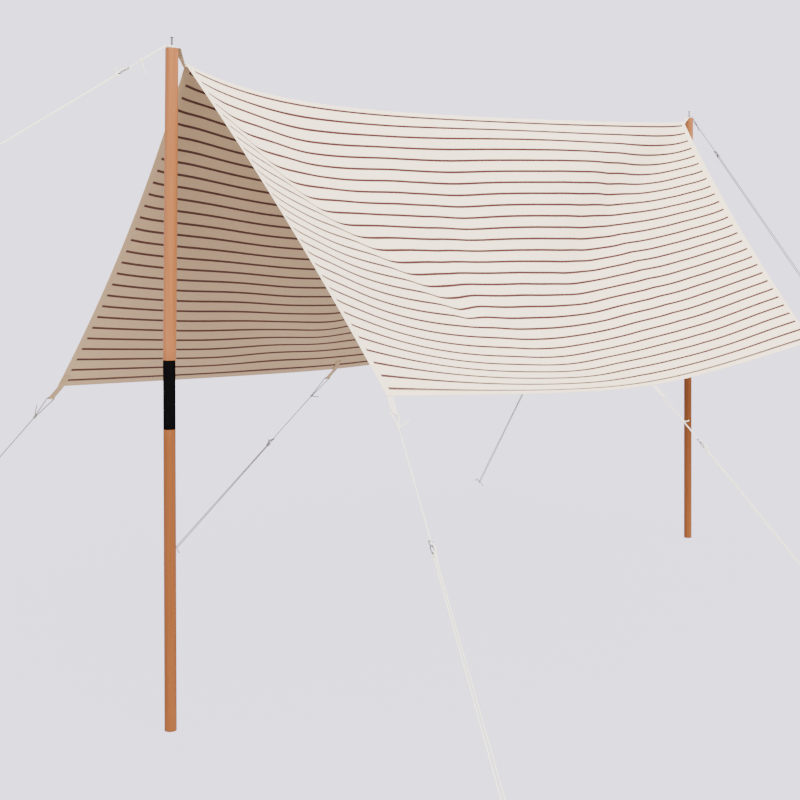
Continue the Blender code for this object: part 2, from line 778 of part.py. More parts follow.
def main():
    clear_scene()
    materials = {
        "wood": make_material("oiled_beech", (0.56, 0.27, 0.13), 0.55, 0.0),
        "sleeve": make_material("black_sleeve", (0.015, 0.015, 0.016), 0.45, 0.0),
        "steel": make_material("polished_steel", (0.55, 0.55, 0.54), 0.30, 1.0),
        "canvas": make_material("cotton_canvas", (0.80, 0.76, 0.68), 0.90, 0.0),
        "webbing": make_material("cotton_webbing", (0.78, 0.72, 0.60), 0.85, 0.0),
        "cord": make_material("guy_cord", (0.82, 0.80, 0.70), 0.80, 0.0),
    }
    for front in (True, False):
        make_pole(front, materials)
    place("canopy_sheet", mesh_from("canopy_sheet", canvas_shell()), materials["canvas"])
    for front in (True, False):
        name, mesh = ridge_strap(front)
        place(name, mesh, materials["webbing"])
    for name in GUYS:
        if "ridge" not in name:
            place(name + "_strap", side_strap(name), materials["webbing"])
        place(name + "_guy", guy_cord(name), materials["cord"])
        place(name + "_tensioner", tensioner(name), materials["steel"])
        place(name + "_peg", mesh_from(name + "_peg", peg(name)), materials["steel"])


main()
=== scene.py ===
"""Market canopy: the looks of a striped canvas sheet pitched over two wooden poles.

Metres, +Z up. The origin is the foot of the front pole. +X runs along the ridge to
the rear pole, -Y is the near side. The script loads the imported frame, builds every
piece as a surface worked out with numpy, and sets a plain studio round it.
"""
import math

import bpy
import numpy as np
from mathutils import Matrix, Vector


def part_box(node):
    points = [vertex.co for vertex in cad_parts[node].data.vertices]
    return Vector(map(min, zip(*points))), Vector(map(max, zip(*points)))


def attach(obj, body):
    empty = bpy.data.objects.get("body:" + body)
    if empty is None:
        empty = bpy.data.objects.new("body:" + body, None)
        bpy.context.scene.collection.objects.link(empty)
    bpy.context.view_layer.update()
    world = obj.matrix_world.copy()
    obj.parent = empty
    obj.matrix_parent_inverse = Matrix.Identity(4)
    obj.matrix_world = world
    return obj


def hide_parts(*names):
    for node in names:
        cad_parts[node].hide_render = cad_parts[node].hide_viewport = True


bl_info = {
    "name": "Market canopy",
    "version": (1, 0, 0),
    "blender": (4, 5, 0),
    "location": "3D View > Sidebar > Canopy",
    "description": "Striped canvas canopy on two wooden poles with guy cords",
    "category": "Object",
}

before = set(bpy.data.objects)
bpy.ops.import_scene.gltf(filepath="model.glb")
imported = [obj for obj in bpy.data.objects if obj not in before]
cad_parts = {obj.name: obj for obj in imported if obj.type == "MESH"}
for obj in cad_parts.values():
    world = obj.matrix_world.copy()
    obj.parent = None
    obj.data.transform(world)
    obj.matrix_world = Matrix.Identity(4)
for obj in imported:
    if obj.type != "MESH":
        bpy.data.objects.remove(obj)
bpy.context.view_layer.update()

# Sheet: where its ridge and lower edges run, as in the frame
RIDGE_FRONT = (0.060, 0.0, 1.961)
RIDGE_REAR = (3.380, 0.0, 1.980)
RIDGE_SAG = 0.1205
RIDGE_FALL = 0.12
RIDGE_RISE_POWER = 0.743

# Each panel of the sheet: the three points of its lower edge, how softly that
# edge turns at the middle strap and how much softer higher up, how far the slack
# cloth bellies in and how soon behind each end, how the front and rear edges bow,
# and its long soft folds. A fold runs from one point of the cloth to another,
# each given in metres behind the front edge and down from the ridge, and then
# has a width and an inward depth.
NEAR_PANEL = {
    "front": (-0.053, -0.835, 1.040),
    "middle": (1.704, -0.690, 0.913),
    "rear": (3.306, -0.660, 0.972),
    "softness": (0.38, 0.74),
    "belly": 0.170, "belly_to_rear": 0.235, "belly_power": 1.917,
    "front_reach": (0.129, 0.0), "rear_reach": (0.022, 0.202),
    "front_bow": 0.027, "rear_bow": 0.064,
    "folds": (
        ((0.05, 0.13), (0.94, 0.78), 0.064, 0.019),
        ((0.50, 0.25), (1.15, 0.42), 0.23, 0.035),
        ((3.19, 0.12), (2.46, 0.33), 0.105, 0.035),
        ((2.39, 0.39), (1.89, 0.66), 0.17, 0.025),
        ((1.73, 1.16), (2.73, 0.82), 0.22, -0.019),
        ((1.25, -0.09), (2.52, 0.28), 0.195, -0.021),
        ((2.14, 0.56), (2.99, 0.29), 0.16, 0.032),
        ((0.87, 0.36), (1.36, 0.71), 0.20, -0.022),
        ((0.07, 0.71), (1.02, 0.84), 0.21, -0.019),
    ),
}
FAR_PANEL = {
    "front": (0.207, 0.740, 0.945),
    "middle": (1.799, 0.7245, 0.895),
    "rear": (3.360, 0.700, 0.955),
    "softness": (0.27, 0.70),
    "belly": 0.010, "belly_to_rear": 0.29, "belly_power": 1.74,
    "front_reach": (0.432, 0.137), "rear_reach": (0.050, 0.188),
    "front_bow": 0.0405, "rear_bow": 0.055,
    "folds": (
        ((1.25, 0.49), (1.27, 0.93), 0.19, 0.023),
        ((1.14, 0.24), (0.975, 0.81), 0.26, 0.022),
        ((0.64, 0.69), (0.84, 1.09), 0.31, 0.027),
        ((0.07, 0.19), (1.07, 1.23), 0.21, -0.029),
    ),
}
FOLD_FREE_ENDS = 0.12
FOLD_FREE_RIDGE = 0.08
FOLD_FREE_HEM = 0.10
PANEL_WIDTH = 1.240
SHEET_LENGTH = RIDGE_REAR[0] - RIDGE_FRONT[0]
SHEET_COLUMNS = 236
PANEL_ROWS = 90
HEM_STEPS = (0.0, 0.12, 0.5, 0.88, 1.0, 1.12)
SLOPE_STEP = 1e-3
STITCH_INSET = 0.003
STITCH_PITCH = 0.0055
STITCH_LENGTH = 0.0036
STITCH_RADIUS = 0.00042
THREAD_SHADE = 0.42

# Guys: where each meets its peg on the ground plan, how far down the guy its
# knot and its tensioner sit, what share of the way along the hem its strap is
# sewn at, and how far its upper knot's tail reaches
GUYS = {
    "front_ridge": {"peg": (-3.06, 1.07), "knot": 0.090, "tensioner": 0.154,
                    "tail": (0.010, -0.014, -0.043)},
    "rear_ridge": {"peg": (6.47, -0.18), "knot": 0.062, "tensioner": 0.298,
                   "tail": (0.005, -0.010, -0.028)},
    "near_front": {"peg": (-0.664, -1.70), "knot": 0.046, "tensioner": 0.411, "sewn": 0.0045,
                   "tail": (0.016, -0.022, 0.017)},
    "near_middle": {"peg": (1.64, -1.59), "knot": 0.116, "tensioner": 0.216, "sewn": 0.505,
                    "tail": (-0.014, -0.027, 0.006)},
    "near_rear": {"peg": (4.05, -1.62), "knot": 0.090, "tensioner": 0.300, "sewn": 0.9925,
                  "tail": (-0.014, -0.027, 0.006)},
    "far_front": {"peg": (0.015, 1.64), "knot": 0.094, "tensioner": 0.420, "sewn": 0.004,
                  "tail": (0.012, 0.004, 0.038)},
    "far_middle": {"peg": (1.74, 1.72), "knot": 0.122, "tensioner": 0.445, "sewn": 0.454,
                   "tail": (0.018, -0.023, -0.005)},
    "far_rear": {"peg": (4.05, 1.60), "knot": 0.110, "tensioner": 0.220, "sewn": 0.996,
                 "tail": (0.018, 0.020, -0.010)},
}
SHADED_GUYS = ("rear_ridge", "far_front", "far_middle", "far_rear")
PEG_LOOP_HEIGHT = 0.022

# Side straps: how far one reaches from the sheet to its eye, where it bends and
# how far it is sewn back, then its section, its eye and its place under the cloth
STRAP_REACH = 0.056
STRAP_BEND = 0.006
STRAP_TAIL = 0.045
STRAP_WIDTH = 0.026
STRAP_THICKNESS = 0.0024
CORNER_CUT = 0.9
EYE_RADIUS = 0.0034
EYE_NECK = 0.0042
SEAM_GAP = 0.0004
CLOTH_ALLOWANCE = 0.001
STRAP_DEPTH = SEAM_GAP + STRAP_THICKNESS / 2 + CLOTH_ALLOWANCE
GAP = 0.0003

# Ridge straps: rows over the pole top and past its rim, and how far behind the
# end of the ridge the strap starts to touch the cloth and is sewn
TOP_ROWS = (-0.0150, -0.0085, -0.004, 0.0, 0.004, 0.010, 0.017)
RIM_REACH = 0.0235
RIM_DROP = 0.0015
RIM_UP = (0.55, 0.84)
SEWN_FROM = 0.004
SEWN_TO = 0.035
MOUTH = 0.010
STRAP_POINTS = 9

# Guys: the bend over the pole's rim, the knots, and how far the lower knot sits
# below the tensioner and aside from it
GUY_RIM = 0.0205
UPPER_KNOT = {"turns": 3.0, "length": 0.0095, "width": 0.0030}
LOWER_KNOT = {"turns": 2.2, "length": 0.0065, "width": 0.0026}
KNOT_CORD = 0.92
LOWER_KNOT_BELOW = 0.012
LOWER_KNOT_ASIDE = 0.0050
STRAND_CLEARANCE = 0.0006
LIFT_CLEARANCE = 0.0010
PIN_LOOP_CLEARANCE = 0.0004
EYE_LOOP_CLEARANCE = 0.0032
TENSIONER_LENGTH = 0.040
TENSIONER_WIDTH = 0.0185
TENSIONER_BAR = 0.003
WAIST_FROM_TOP = 0.016
SQUARENESS = 0.8
RING_SIDES = 48
UPPER_RING_NARROWER = 0.001
UPPER_RING_BAR = 0.93
RING_OVERLAP = 1.3
PIN_RADIUS = 0.003
PIN_HEAD_RADIUS = 0.006
PIN_HOLE = PIN_RADIUS + 0.0006
PIN_HEAD_HEIGHT = 0.003
PEG_RADIUS = 0.0035
PEG_SHANK = 0.050
PEG_HOOK_RADIUS = 0.010
HAIRPIN_RADIUS = 0.008
TAIL_LENGTH = 0.030
TAIL_CURL = 0.002

# Poles: how far the wood's rim is cut back at the sleeve, over what height, and
# the sleeve's own lip
SHOULDER = 0.0006
SHOULDER_HEIGHT = 0.0009
SLEEVE_LIP = 0.0008

# How many points go round each kind of bar
CORD_SIDES = 10
KNOT_SIDES = 8
PEG_SIDES = 16
TURNED_SIDES = 96
PIN_SIDES = 48

# Finishes: distance from one thread, rib or strand to the next, and gloss
CANVAS_THREADS = 0.0011
WEBBING_RIBS = 0.0021
WEBBING_THREADS = 0.0013
CORD_STRANDS = 0.0032
THREAD_TWIST = 0.0007
WOOD_ROUGHNESS = 0.5
STEEL_ROUGHNESS = 0.26
ZINC_COLOUR = (0.42, 0.42, 0.42)
ZINC_ROUGHNESS = 0.38

# Angle, in degrees, past which two faces meet in a sharp edge
PLAIN_EDGE = 40.0
TURNED_EDGE = 50.0
CLOTH_EDGE = 60.0
BAR_EDGE = 70.0

# Stage: each light's strength setting, turns, spread in degrees and colour, and
# the floor and camera. The heading is in degrees left of +Y.
SUNS = {
    "key_light": ("key_strength", (52.0, 0.0, -20.0), 30.0, (1.0, 0.92, 0.80)),
    "fill_light": ("fill_strength", (58.0, 0.0, -110.0), 60.0, (0.93, 0.96, 1.0)),
}
FLOOR_RADIUS = 80.0
FLOOR_LEVEL = -0.0006
FLOOR_SIDES = 96
FLOOR_TONES = (0.058, 0.062)
FLOOR_GLOW = 0.92
FRAME_PIXELS = 800
SENSOR_WIDTH = 36.0
CAMERA_HEADING = -53.42
CAMERA_SHIFT = -0.2131
VIEW_LIMIT = 300.0


class SheetSettings(bpy.types.PropertyGroup):
    thickness: bpy.props.FloatProperty(
        name="Thickness", description="Thickness of the canvas",
        default=0.0011, min=0.0003, max=0.003, subtype="DISTANCE", unit="LENGTH")
    hem_width: bpy.props.FloatProperty(
        name="Hem width", description="Width of the folded border",
        default=0.025, min=0.005, max=0.06, subtype="DISTANCE", unit="LENGTH")
    hem_extra: bpy.props.FloatProperty(
        name="Hem fold", description="Thickness that the folded border adds",
        default=0.0006, min=0.0, max=0.002, subtype="DISTANCE", unit="LENGTH")
    stripe_pitch: bpy.props.FloatProperty(
        name="Stripe pitch", description="Distance from one stripe to the next",
        default=0.0442, min=0.01, max=0.2, subtype="DISTANCE", unit="LENGTH")
    stripe_width: bpy.props.FloatProperty(
        name="Stripe width", description="Width of each woven stripe",
        default=0.0090, min=0.001, max=0.05, subtype="DISTANCE", unit="LENGTH")
    top_colour: bpy.props.FloatVectorProperty(
        name="Upper side", description="Colour of the cloth in the light",
        default=(0.93, 0.81, 0.545), min=0.0, max=1.0, subtype="COLOR")
    under_colour: bpy.props.FloatVectorProperty(
        name="Under side", description="Colour of the shaded side, warmed by the cloth",
        default=(0.365, 0.262, 0.126), min=0.0, max=1.0, subtype="COLOR")
    stripe_colour: bpy.props.FloatVectorProperty(
        name="Stripes", description="Colour of the stripes on the upper side",
        default=(0.058, 0.020, 0.018), min=0.0, max=1.0, subtype="COLOR")
    # Stripes below: painted shade, the stripes darkened for the shade under the sheet
    painted_shade_stripe_colour: bpy.props.FloatVectorProperty(
        name="Stripes below", description="Colour of the stripes on the under side",
        default=(0.048, 0.021, 0.014), min=0.0, max=1.0, subtype="COLOR")


class TimberSettings(bpy.types.PropertyGroup):
    upper_colour: bpy.props.FloatVectorProperty(
        name="Upper halves", description="Colour of the oiled wood above the sleeves",
        default=(0.250, 0.094, 0.026), min=0.0, max=1.0, subtype="COLOR")
    lower_colour: bpy.props.FloatVectorProperty(
        name="Lower halves", description="Colour of the oiled wood below the sleeves",
        default=(0.150, 0.050, 0.0115), min=0.0, max=1.0, subtype="COLOR")
    chamfer: bpy.props.FloatProperty(
        name="Chamfer", description="Rounding of the pole ends",
        default=0.003, min=0.0005, max=0.008, subtype="DISTANCE", unit="LENGTH")


class FittingSettings(bpy.types.PropertyGroup):
    steel_colour: bpy.props.FloatVectorProperty(
        name="Steel", description="Colour of the pins and tensioners",
        default=(0.15, 0.15, 0.14), min=0.0, max=1.0, subtype="COLOR")
    sleeve_colour: bpy.props.FloatVectorProperty(
        name="Sleeve", description="Colour of the black sleeves",
        default=(0.0022, 0.0022, 0.0022), min=0.0, max=1.0, subtype="COLOR")
    webbing_colour: bpy.props.FloatVectorProperty(
        name="Webbing", description="Colour of the straps in the light",
        default=(0.98, 0.93, 0.46), min=0.0, max=1.0, subtype="COLOR")
    shaded_webbing_colour: bpy.props.FloatVectorProperty(
        name="Webbing below", description="Colour of the straps in the sheet's shade",
        default=(0.36, 0.26, 0.12), min=0.0, max=1.0, subtype="COLOR")
    cord_colour: bpy.props.FloatVectorProperty(
        name="Cord", description="Colour of the guy cords in the light",
        default=(0.97, 0.97, 0.70), min=0.0, max=1.0, subtype="COLOR")
    shaded_cord_colour: bpy.props.FloatVectorProperty(
        name="Cord below", description="Colour of the cords in the sheet's shade",
        default=(0.20, 0.19, 0.14), min=0.0, max=1.0, subtype="COLOR")
    cord_radius: bpy.props.FloatProperty(
        name="Cord radius", description="Radius of the guy cords",
        default=0.002, min=0.0005, max=0.01, subtype="DISTANCE", unit="LENGTH")


class StageSettings(bpy.types.PropertyGroup):
    floor_colour: bpy.props.FloatVectorProperty(
        name="Floor", description="Colour of the floor and the background",
        default=(0.859, 0.800, 1.0), min=0.0, max=1.0, subtype="COLOR")
    sky_strength: bpy.props.FloatProperty(
        name="Sky", description="Brightness of the sky and of the floor",
        default=2.73, min=0.0, max=20.0)
    key_strength: bpy.props.FloatProperty(
        name="Key light", description="Strength of the soft main light",
        default=7.0, min=0.0, max=20.0)
    fill_strength: bpy.props.FloatProperty(
        name="Fill light", description="Strength of the weak light from the left",
        default=1.1, min=0.0, max=20.0)
    camera_place: bpy.props.FloatVectorProperty(
        name="Camera", description="Where the camera stands",
        default=(-3.13, -3.16, 1.468), subtype="XYZ", unit="LENGTH")
    focal_pixels: bpy.props.FloatProperty(
        name="Focal length", description="Focal length in pixels of an 800 pixel frame",
        default=1500.0, min=300.0, max=5000.0)


SETTINGS = {
    "canopy_sheet_settings": SheetSettings,
    "canopy_timber_settings": TimberSettings,
    "canopy_fitting_settings": FittingSettings,
    "canopy_stage_settings": StageSettings,
}


# Small vector helpers

def unit(vectors):
    """Each vector over its own length."""
    vectors = np.asarray(vectors, float)
    return vectors / np.linalg.norm(vectors, axis=-1, keepdims=True)


def mix(a, b, share):
    """a times one less the share, plus b times the share."""
    return a * (1 - share) + b * share


def ease(x, low, high):
    """Nought below low, one above high, and 3t^2 - 2t^3 between them."""
    t = np.clip((x - low) / (high - low), 0.0, 1.0)
    return t * t * (3 - 2 * t)


def smooth_path(points, per_span):
    """Smooth curve through a list of points (Catmull-Rom).

    Between two points the place is half of 2b + (c - a) t + (2a - 5b + 4c - d) t^2
    + (3b - a - 3c + d) t^3, for the point before, the two ends and the point after.
    """
    points = np.asarray(points, float)
    padded = np.vstack([2 * points[0] - points[1], points, 2 * points[-1] - points[-2]])
    t = np.linspace(0.0, 1.0, per_span, endpoint=False)[None, :, None]
    a, b, c, d = (padded[i:len(padded) - 3 + i][:, None, :] for i in range(4))
    curve = 0.5 * (2 * b + (c - a) * t + (2 * a - 5 * b + 4 * c - d) * t ** 2
                   + (3 * b - a - 3 * c + d) * t ** 3)
    return np.vstack([curve.reshape(-1, 3), points[-1:]])


def arc_lengths(path):
    """Distance along a path to each of its points."""
    steps = np.linalg.norm(np.diff(path, axis=0), axis=1)
    return np.concatenate([[0.0], np.cumsum(steps)])


# Surfaces: each is a dictionary of points, faces and one (u, v) for each corner

def grid_cells(rows, columns, closed_rows=False, closed_columns=False):
    """Row and column of each cell of a grid; closed ways have a cell more."""
    i = np.arange(rows if closed_rows else rows - 1)[:, None]
    j = np.arange(columns if closed_columns else columns - 1)[None, :]
    return np.broadcast_arrays(i, j)


def grid_faces(rows, columns, closed_rows=False, closed_columns=False):
    """Four-sided faces of a grid, as an array; closed ways wrap round."""
    i, j = grid_cells(rows, columns, closed_rows, closed_columns)
    k, m = (i + 1) % rows, (j + 1) % columns
    corners = (i * columns + j, k * columns + j, k * columns + m, i * columns + m)
    return np.stack([corner.ravel() for corner in corners], axis=1)


def quad_shape(points, quads, quad_uvs):
    """A shape that has no three-sided faces."""
    return {"points": points, "quads": quads, "quad_uvs": quad_uvs,
            "triangles": np.zeros((0, 3), int), "triangle_uvs": np.zeros((0, 3, 2))}


def skin(grid, u, v, closed_rows=False):
    """Skin of a grid of points; its rows run along the piece, its columns round it.

    u gives each row's place along and v each column's place round. Open ends get
    a fan of faces about the middle of the end ring.
    """
    rows, columns = grid.shape[:2]
    points = grid.reshape(-1, 3)
    i, j = grid_cells(rows, columns, closed_rows, True)
    u_ends = np.append(u, u[-1] + (u[-1] - u[-2]))
    v_ends = np.append(v, v[-1] + (v[-1] - v[-2]))
    corners = ((i, j), (i + 1, j), (i + 1, j + 1), (i, j + 1))
    uvs = np.stack([
        np.stack([u_ends[a].ravel(), v_ends[b].ravel()], axis=1) for a, b in corners
    ], axis=1)
    shape = quad_shape(points, grid_faces(rows, columns, closed_rows, True), uvs)
    if not closed_rows:
        around = np.arange(columns)
        after = (around + 1) % columns
        count = len(points)
        middles = np.stack([grid[0].mean(axis=0), grid[-1].mean(axis=0)])
        last = (rows - 1) * columns
        first_fan = np.stack([np.full(columns, count), around, after], axis=1)
        last_fan = np.stack([np.full(columns, count + 1), last + after, last + around], axis=1)
        shape["points"] = np.vstack([points, middles])
        shape["triangles"] = np.vstack([first_fan, last_fan])
        ends = np.concatenate([np.full(columns, u[0]), np.full(columns, u[-1])])
        rounds = np.concatenate([v[around], v[around]])
        shape["triangle_uvs"] = np.repeat(np.stack([ends, rounds], axis=1)[:, None, :], 3, axis=1)
    return outward(shape)


def outward(shape):
    """Turn every face round if the closed shape's signed volume is negative.

    The volume is a sixth of the sum, over the triangles, of a . (b x c).
    """
    quads, triangles = shape["quads"], shape["triangles"]
    split = np.vstack([quads[:, :3], quads[:, [0, 2, 3]], triangles])
    a, b, c = (shape["points"][split[:, k]] for k in range(3))
    if np.einsum("ij,ij->i", a, np.cross(b, c)).sum() < 0:
        for name in ("quads", "quad_uvs", "triangles", "triangle_uvs"):
            shape[name] = shape[name][:, ::-1]
    return shape


def joined(shapes):
    """Several shapes as one, each still closed by itself."""
    shapes = list(shapes)
    starts = np.cumsum([0] + [len(shape["points"]) for shape in shapes[:-1]])
    return {
        "points": np.vstack([shape["points"] for shape in shapes]),
        "quads": np.vstack([shape["quads"] + n for shape, n in zip(shapes, starts)]),
        "triangles": np.vstack([shape["triangles"] + n for shape, n in zip(shapes, starts)]),
        "quad_uvs": np.concatenate([shape["quad_uvs"] for shape in shapes]),
        "triangle_uvs": np.concatenate([shape["triangle_uvs"] for shape in shapes]),
    }


def turned_down(shape):
    """For each face one if it looks down and nought if it looks up.

    A face looks the way of the cross product of its two diagonals, or of a
    triangle's first two sides.
    """
    points, quads, triangles = shape["points"], shape["quads"], shape["triangles"]
    a, b, c, d = (points[quads[:, k]] for k in range(4))
    e, f, g = (points[triangles[:, k]] for k in range(3))
    heights = np.concatenate([np.cross(c - a, d - b)[:, 2], np.cross(f - e, g - f)[:, 2]])
    return (heights < 0).astype(int)


def make_piece(name, shape, materials, nodes=(), sharp=PLAIN_EDGE, face_materials=None):
    """Turn a shape into an object that rides on the frame and wears its materials."""
    quads, triangles = shape["quads"], shape["triangles"]
    mesh = bpy.data.meshes.new(name)
    points = shape["points"]
    mesh.vertices.add(len(points))
    mesh.vertices.foreach_set("co", points.astype(np.float32).ravel())
    corners = np.concatenate([quads.ravel(), triangles.ravel()]).astype(np.int32)
    mesh.loops.add(len(corners))
    mesh.loops.foreach_set("vertex_index", corners)
    sizes = np.concatenate([np.full(len(quads), 4), np.full(len(triangles), 3)])
    starts = np.concatenate([[0], np.cumsum(sizes)[:-1]]).astype(np.int32)
    mesh.polygons.add(len(sizes))
    mesh.polygons.foreach_set("loop_start", starts)
    mesh.polygons.foreach_set("use_smooth", np.ones(len(sizes), bool))
    if face_materials is not None:
        mesh.polygons.foreach_set("material_index", face_materials.astype(np.int32))
    uvs = np.concatenate([shape["quad_uvs"].reshape(-1, 2), shape["triangle_uvs"].reshape(-1, 2)])
    layer = mesh.uv_layers.new(name="cloth")
    layer.data.foreach_set("uv", uvs.astype(np.float32).ravel())
    for material in materials:
        mesh.materials.append(material)
    mesh.update(calc_edges=True)
    mesh.validate()
    mesh.set_sharp_from_angle(angle=math.radians(sharp))
    piece = bpy.data.objects.new(name, mesh)
    bpy.context.scene.collection.objects.link(piece)
    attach(piece, "root")
    if nodes:
        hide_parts(*nodes)
    return piece


def carried(path, side_hint, profile, closed=False):
    """Carry a round-the-bar profile along a path.

    The side is the part of the hint square to the path, the other way is square
    to both, and each point is the path plus the profile's two reaches along them.
    """
    path = np.asarray(path, float)
    if closed:
        tangent = unit(np.roll(path, -1, axis=0) - np.roll(path, 1, axis=0))
    else:
        tangent = unit(np.gradient(path, axis=0))
    hint = np.broadcast_to(np.asarray(side_hint, float), path.shape)
    side = unit(hint - tangent * (hint * tangent).sum(axis=1, keepdims=True))
    other = np.cross(tangent, side)
    profile = np.asarray(profile, float)
    return (path[:, None, :] + side[:, None, :] * profile[..., 0:1]
            + other[:, None, :] * profile[..., 1:2])


def bar_along(path, radius, hint, sides=CORD_SIDES, closed=False):
    """Round bar along a path, with rounded ends.

    Ring points are radius times (cos, sin) of the turn. At an open end the last
    rings shrink as a quarter of an ellipse.
    """
    path = np.asarray(path, float)
    radii = np.full(len(path), float(radius))
    if not closed:
        start, stop = unit(path[0] - path[1]), unit(path[-1] - path[-2])
        quarter = np.array([0.35, 0.75, 0.97])
        reach = radius * 0.7 * np.sin(quarter * math.pi / 2)[:, None]
        shrink = radius * np.cos(quarter * math.pi / 2)
        path = np.vstack([(path[0] + start * reach)[::-1], path, path[-1] + stop * reach])
        radii = np.concatenate([shrink[::-1], radii, shrink])
    turns = np.arange(sides) * 2 * math.pi / sides
    circle = np.stack([np.cos(turns), np.sin(turns)], axis=1)
    grid = carried(path, hint, circle[None] * radii[:, None, None], closed)
    u = arc_lengths(path)
    v = np.arange(sides) * 2 * math.pi * radius / sides
    return skin(grid, u, v, closed_rows=closed)


def lathe(profile, centre_at, sides=TURNED_SIDES):
    """Turned piece: each height has a ring of one radius about the leaning axis."""
    profile = np.asarray(profile, float)
    height, radius = profile[:, 0], profile[:, 1]
    turns = np.arange(sides) * 2 * math.pi / sides
    x, y = centre_at(height)
    grid = np.stack([
        x[:, None] + radius[:, None] * np.cos(turns),
        y[:, None] + radius[:, None] * np.sin(turns),
        np.broadcast_to(height[:, None], (len(height), sides)),
    ], axis=2)
    return skin(grid, height, np.arange(sides) * 2 * math.pi / sides)


def ribbon(path, across, normals, width, thickness):
    """Flat strip along a path: an oblong section of twelve points a ring.

    across and normals are unit vectors at each path point. The section's corners
    are cut back by nearly half the thickness.
    """
    half, thick = width / 2, thickness / 2
    c = thick * CORNER_CUT
    section = np.array([
        (half, thick - c), (half - c, thick), (half / 3, thick), (-half / 3, thick),
        (c - half, thick), (-half, thick - c), (-half, c - thick), (c - half, -thick),
        (-half / 3, -thick), (half / 3, -thick), (half - c, -thick), (half, c - thick),
    ])
    grid = (path[:, None, :] + across[:, None, :] * section[None, :, 0:1]
            + normals[:, None, :] * section[None, :, 1:2])
    girth = np.linalg.norm(np.diff(section, axis=0), axis=1)
    return skin(grid, arc_lengths(path), np.concatenate([[0.0], np.cumsum(girth)]))


# Materials

class Finish:
    """A material's nodes, added one at a time to its Principled shader."""

    def __init__(self, name, roughness, metallic=0.0):
        self.material = bpy.data.materials.new(name)
        self.material.use_nodes = True
        self.tree = self.material.node_tree
        self.shader = self.tree.nodes["Principled BSDF"]
        self.set("Roughness", roughness)
        self.set("Metallic", metallic)

    def set(self, socket, value):
        self.shader.inputs[socket].default_value = value

    def feed(self, socket, value):
        self.tree.links.new(value, self.shader.inputs[socket])

    def node(self, kind, inputs=(), **settings):
        made = self.tree.nodes.new(kind)
        for name, value in settings.items():
            setattr(made, name, value)
        for key, value in dict(inputs).items():
            if isinstance(value, bpy.types.NodeSocket):
                self.tree.links.new(value, made.inputs[key])
            else:
                made.inputs[key].default_value = value
        return made

    def math(self, operation, *values):
        return self.node("ShaderNodeMath", enumerate(values), operation=operation).outputs[0]

    def blend(self, factor, low, high):
        """Colour mix; a plain colour may be given as three numbers."""
        low, high = ((*c, 1.0) if isinstance(c, tuple) else c for c in (low, high))
        made = self.node("ShaderNodeMix", {0: factor, 6: low, 7: high},
                         data_type="RGBA", blend_type="MIX", clamp_factor=True)
        return made.outputs[2]

    def noise(self, vector, scale, detail=2.0, roughness=0.5, distortion=0.0):
        made = self.node("ShaderNodeTexNoise", {
            "Vector": vector, "Scale": scale, "Detail": detail,
            "Roughness": roughness, "Distortion": distortion})
        return made.outputs[0]

    def stretch(self, vector, scale):
        return self.node("ShaderNodeMapping", {"Vector": vector, "Scale": scale}).outputs[0]

    def place(self):
        return self.node("ShaderNodeTexCoord").outputs["Object"]

    def cloth(self):
        return self.node("ShaderNodeUVMap", uv_map="cloth").outputs[0]

    def parts(self, vector):
        return self.node("ShaderNodeSeparateXYZ", {0: vector}).outputs

    def span(self, value, low, high, new_low=0.0, new_high=1.0):
        """Straight map of one span of values to another, held at both ends."""
        return self.node("ShaderNodeMapRange", {
            "Value": value, "From Min": low, "From Max": high,
            "To Min": new_low, "To Max": new_high}).outputs[0]

    def bump(self, height, distance, strength=1.0, under=None):
        inputs = {"Height": height, "Distance": distance, "Strength": strength}
        if under is not None:
            inputs["Normal"] = under
        return self.node("ShaderNodeBump", inputs).outputs[0]


def weave(finish, cloth, pitch):
    """Plain weave: the sine of each thread's count, over and under by turns."""
    x, y, _ = finish.parts(cloth)
    warp = finish.math("SINE", finish.math("MULTIPLY", x, math.pi / pitch))
    weft = finish.math("SINE", finish.math("MULTIPLY", y, math.pi / pitch))
    return finish.math("MULTIPLY", warp, weft)


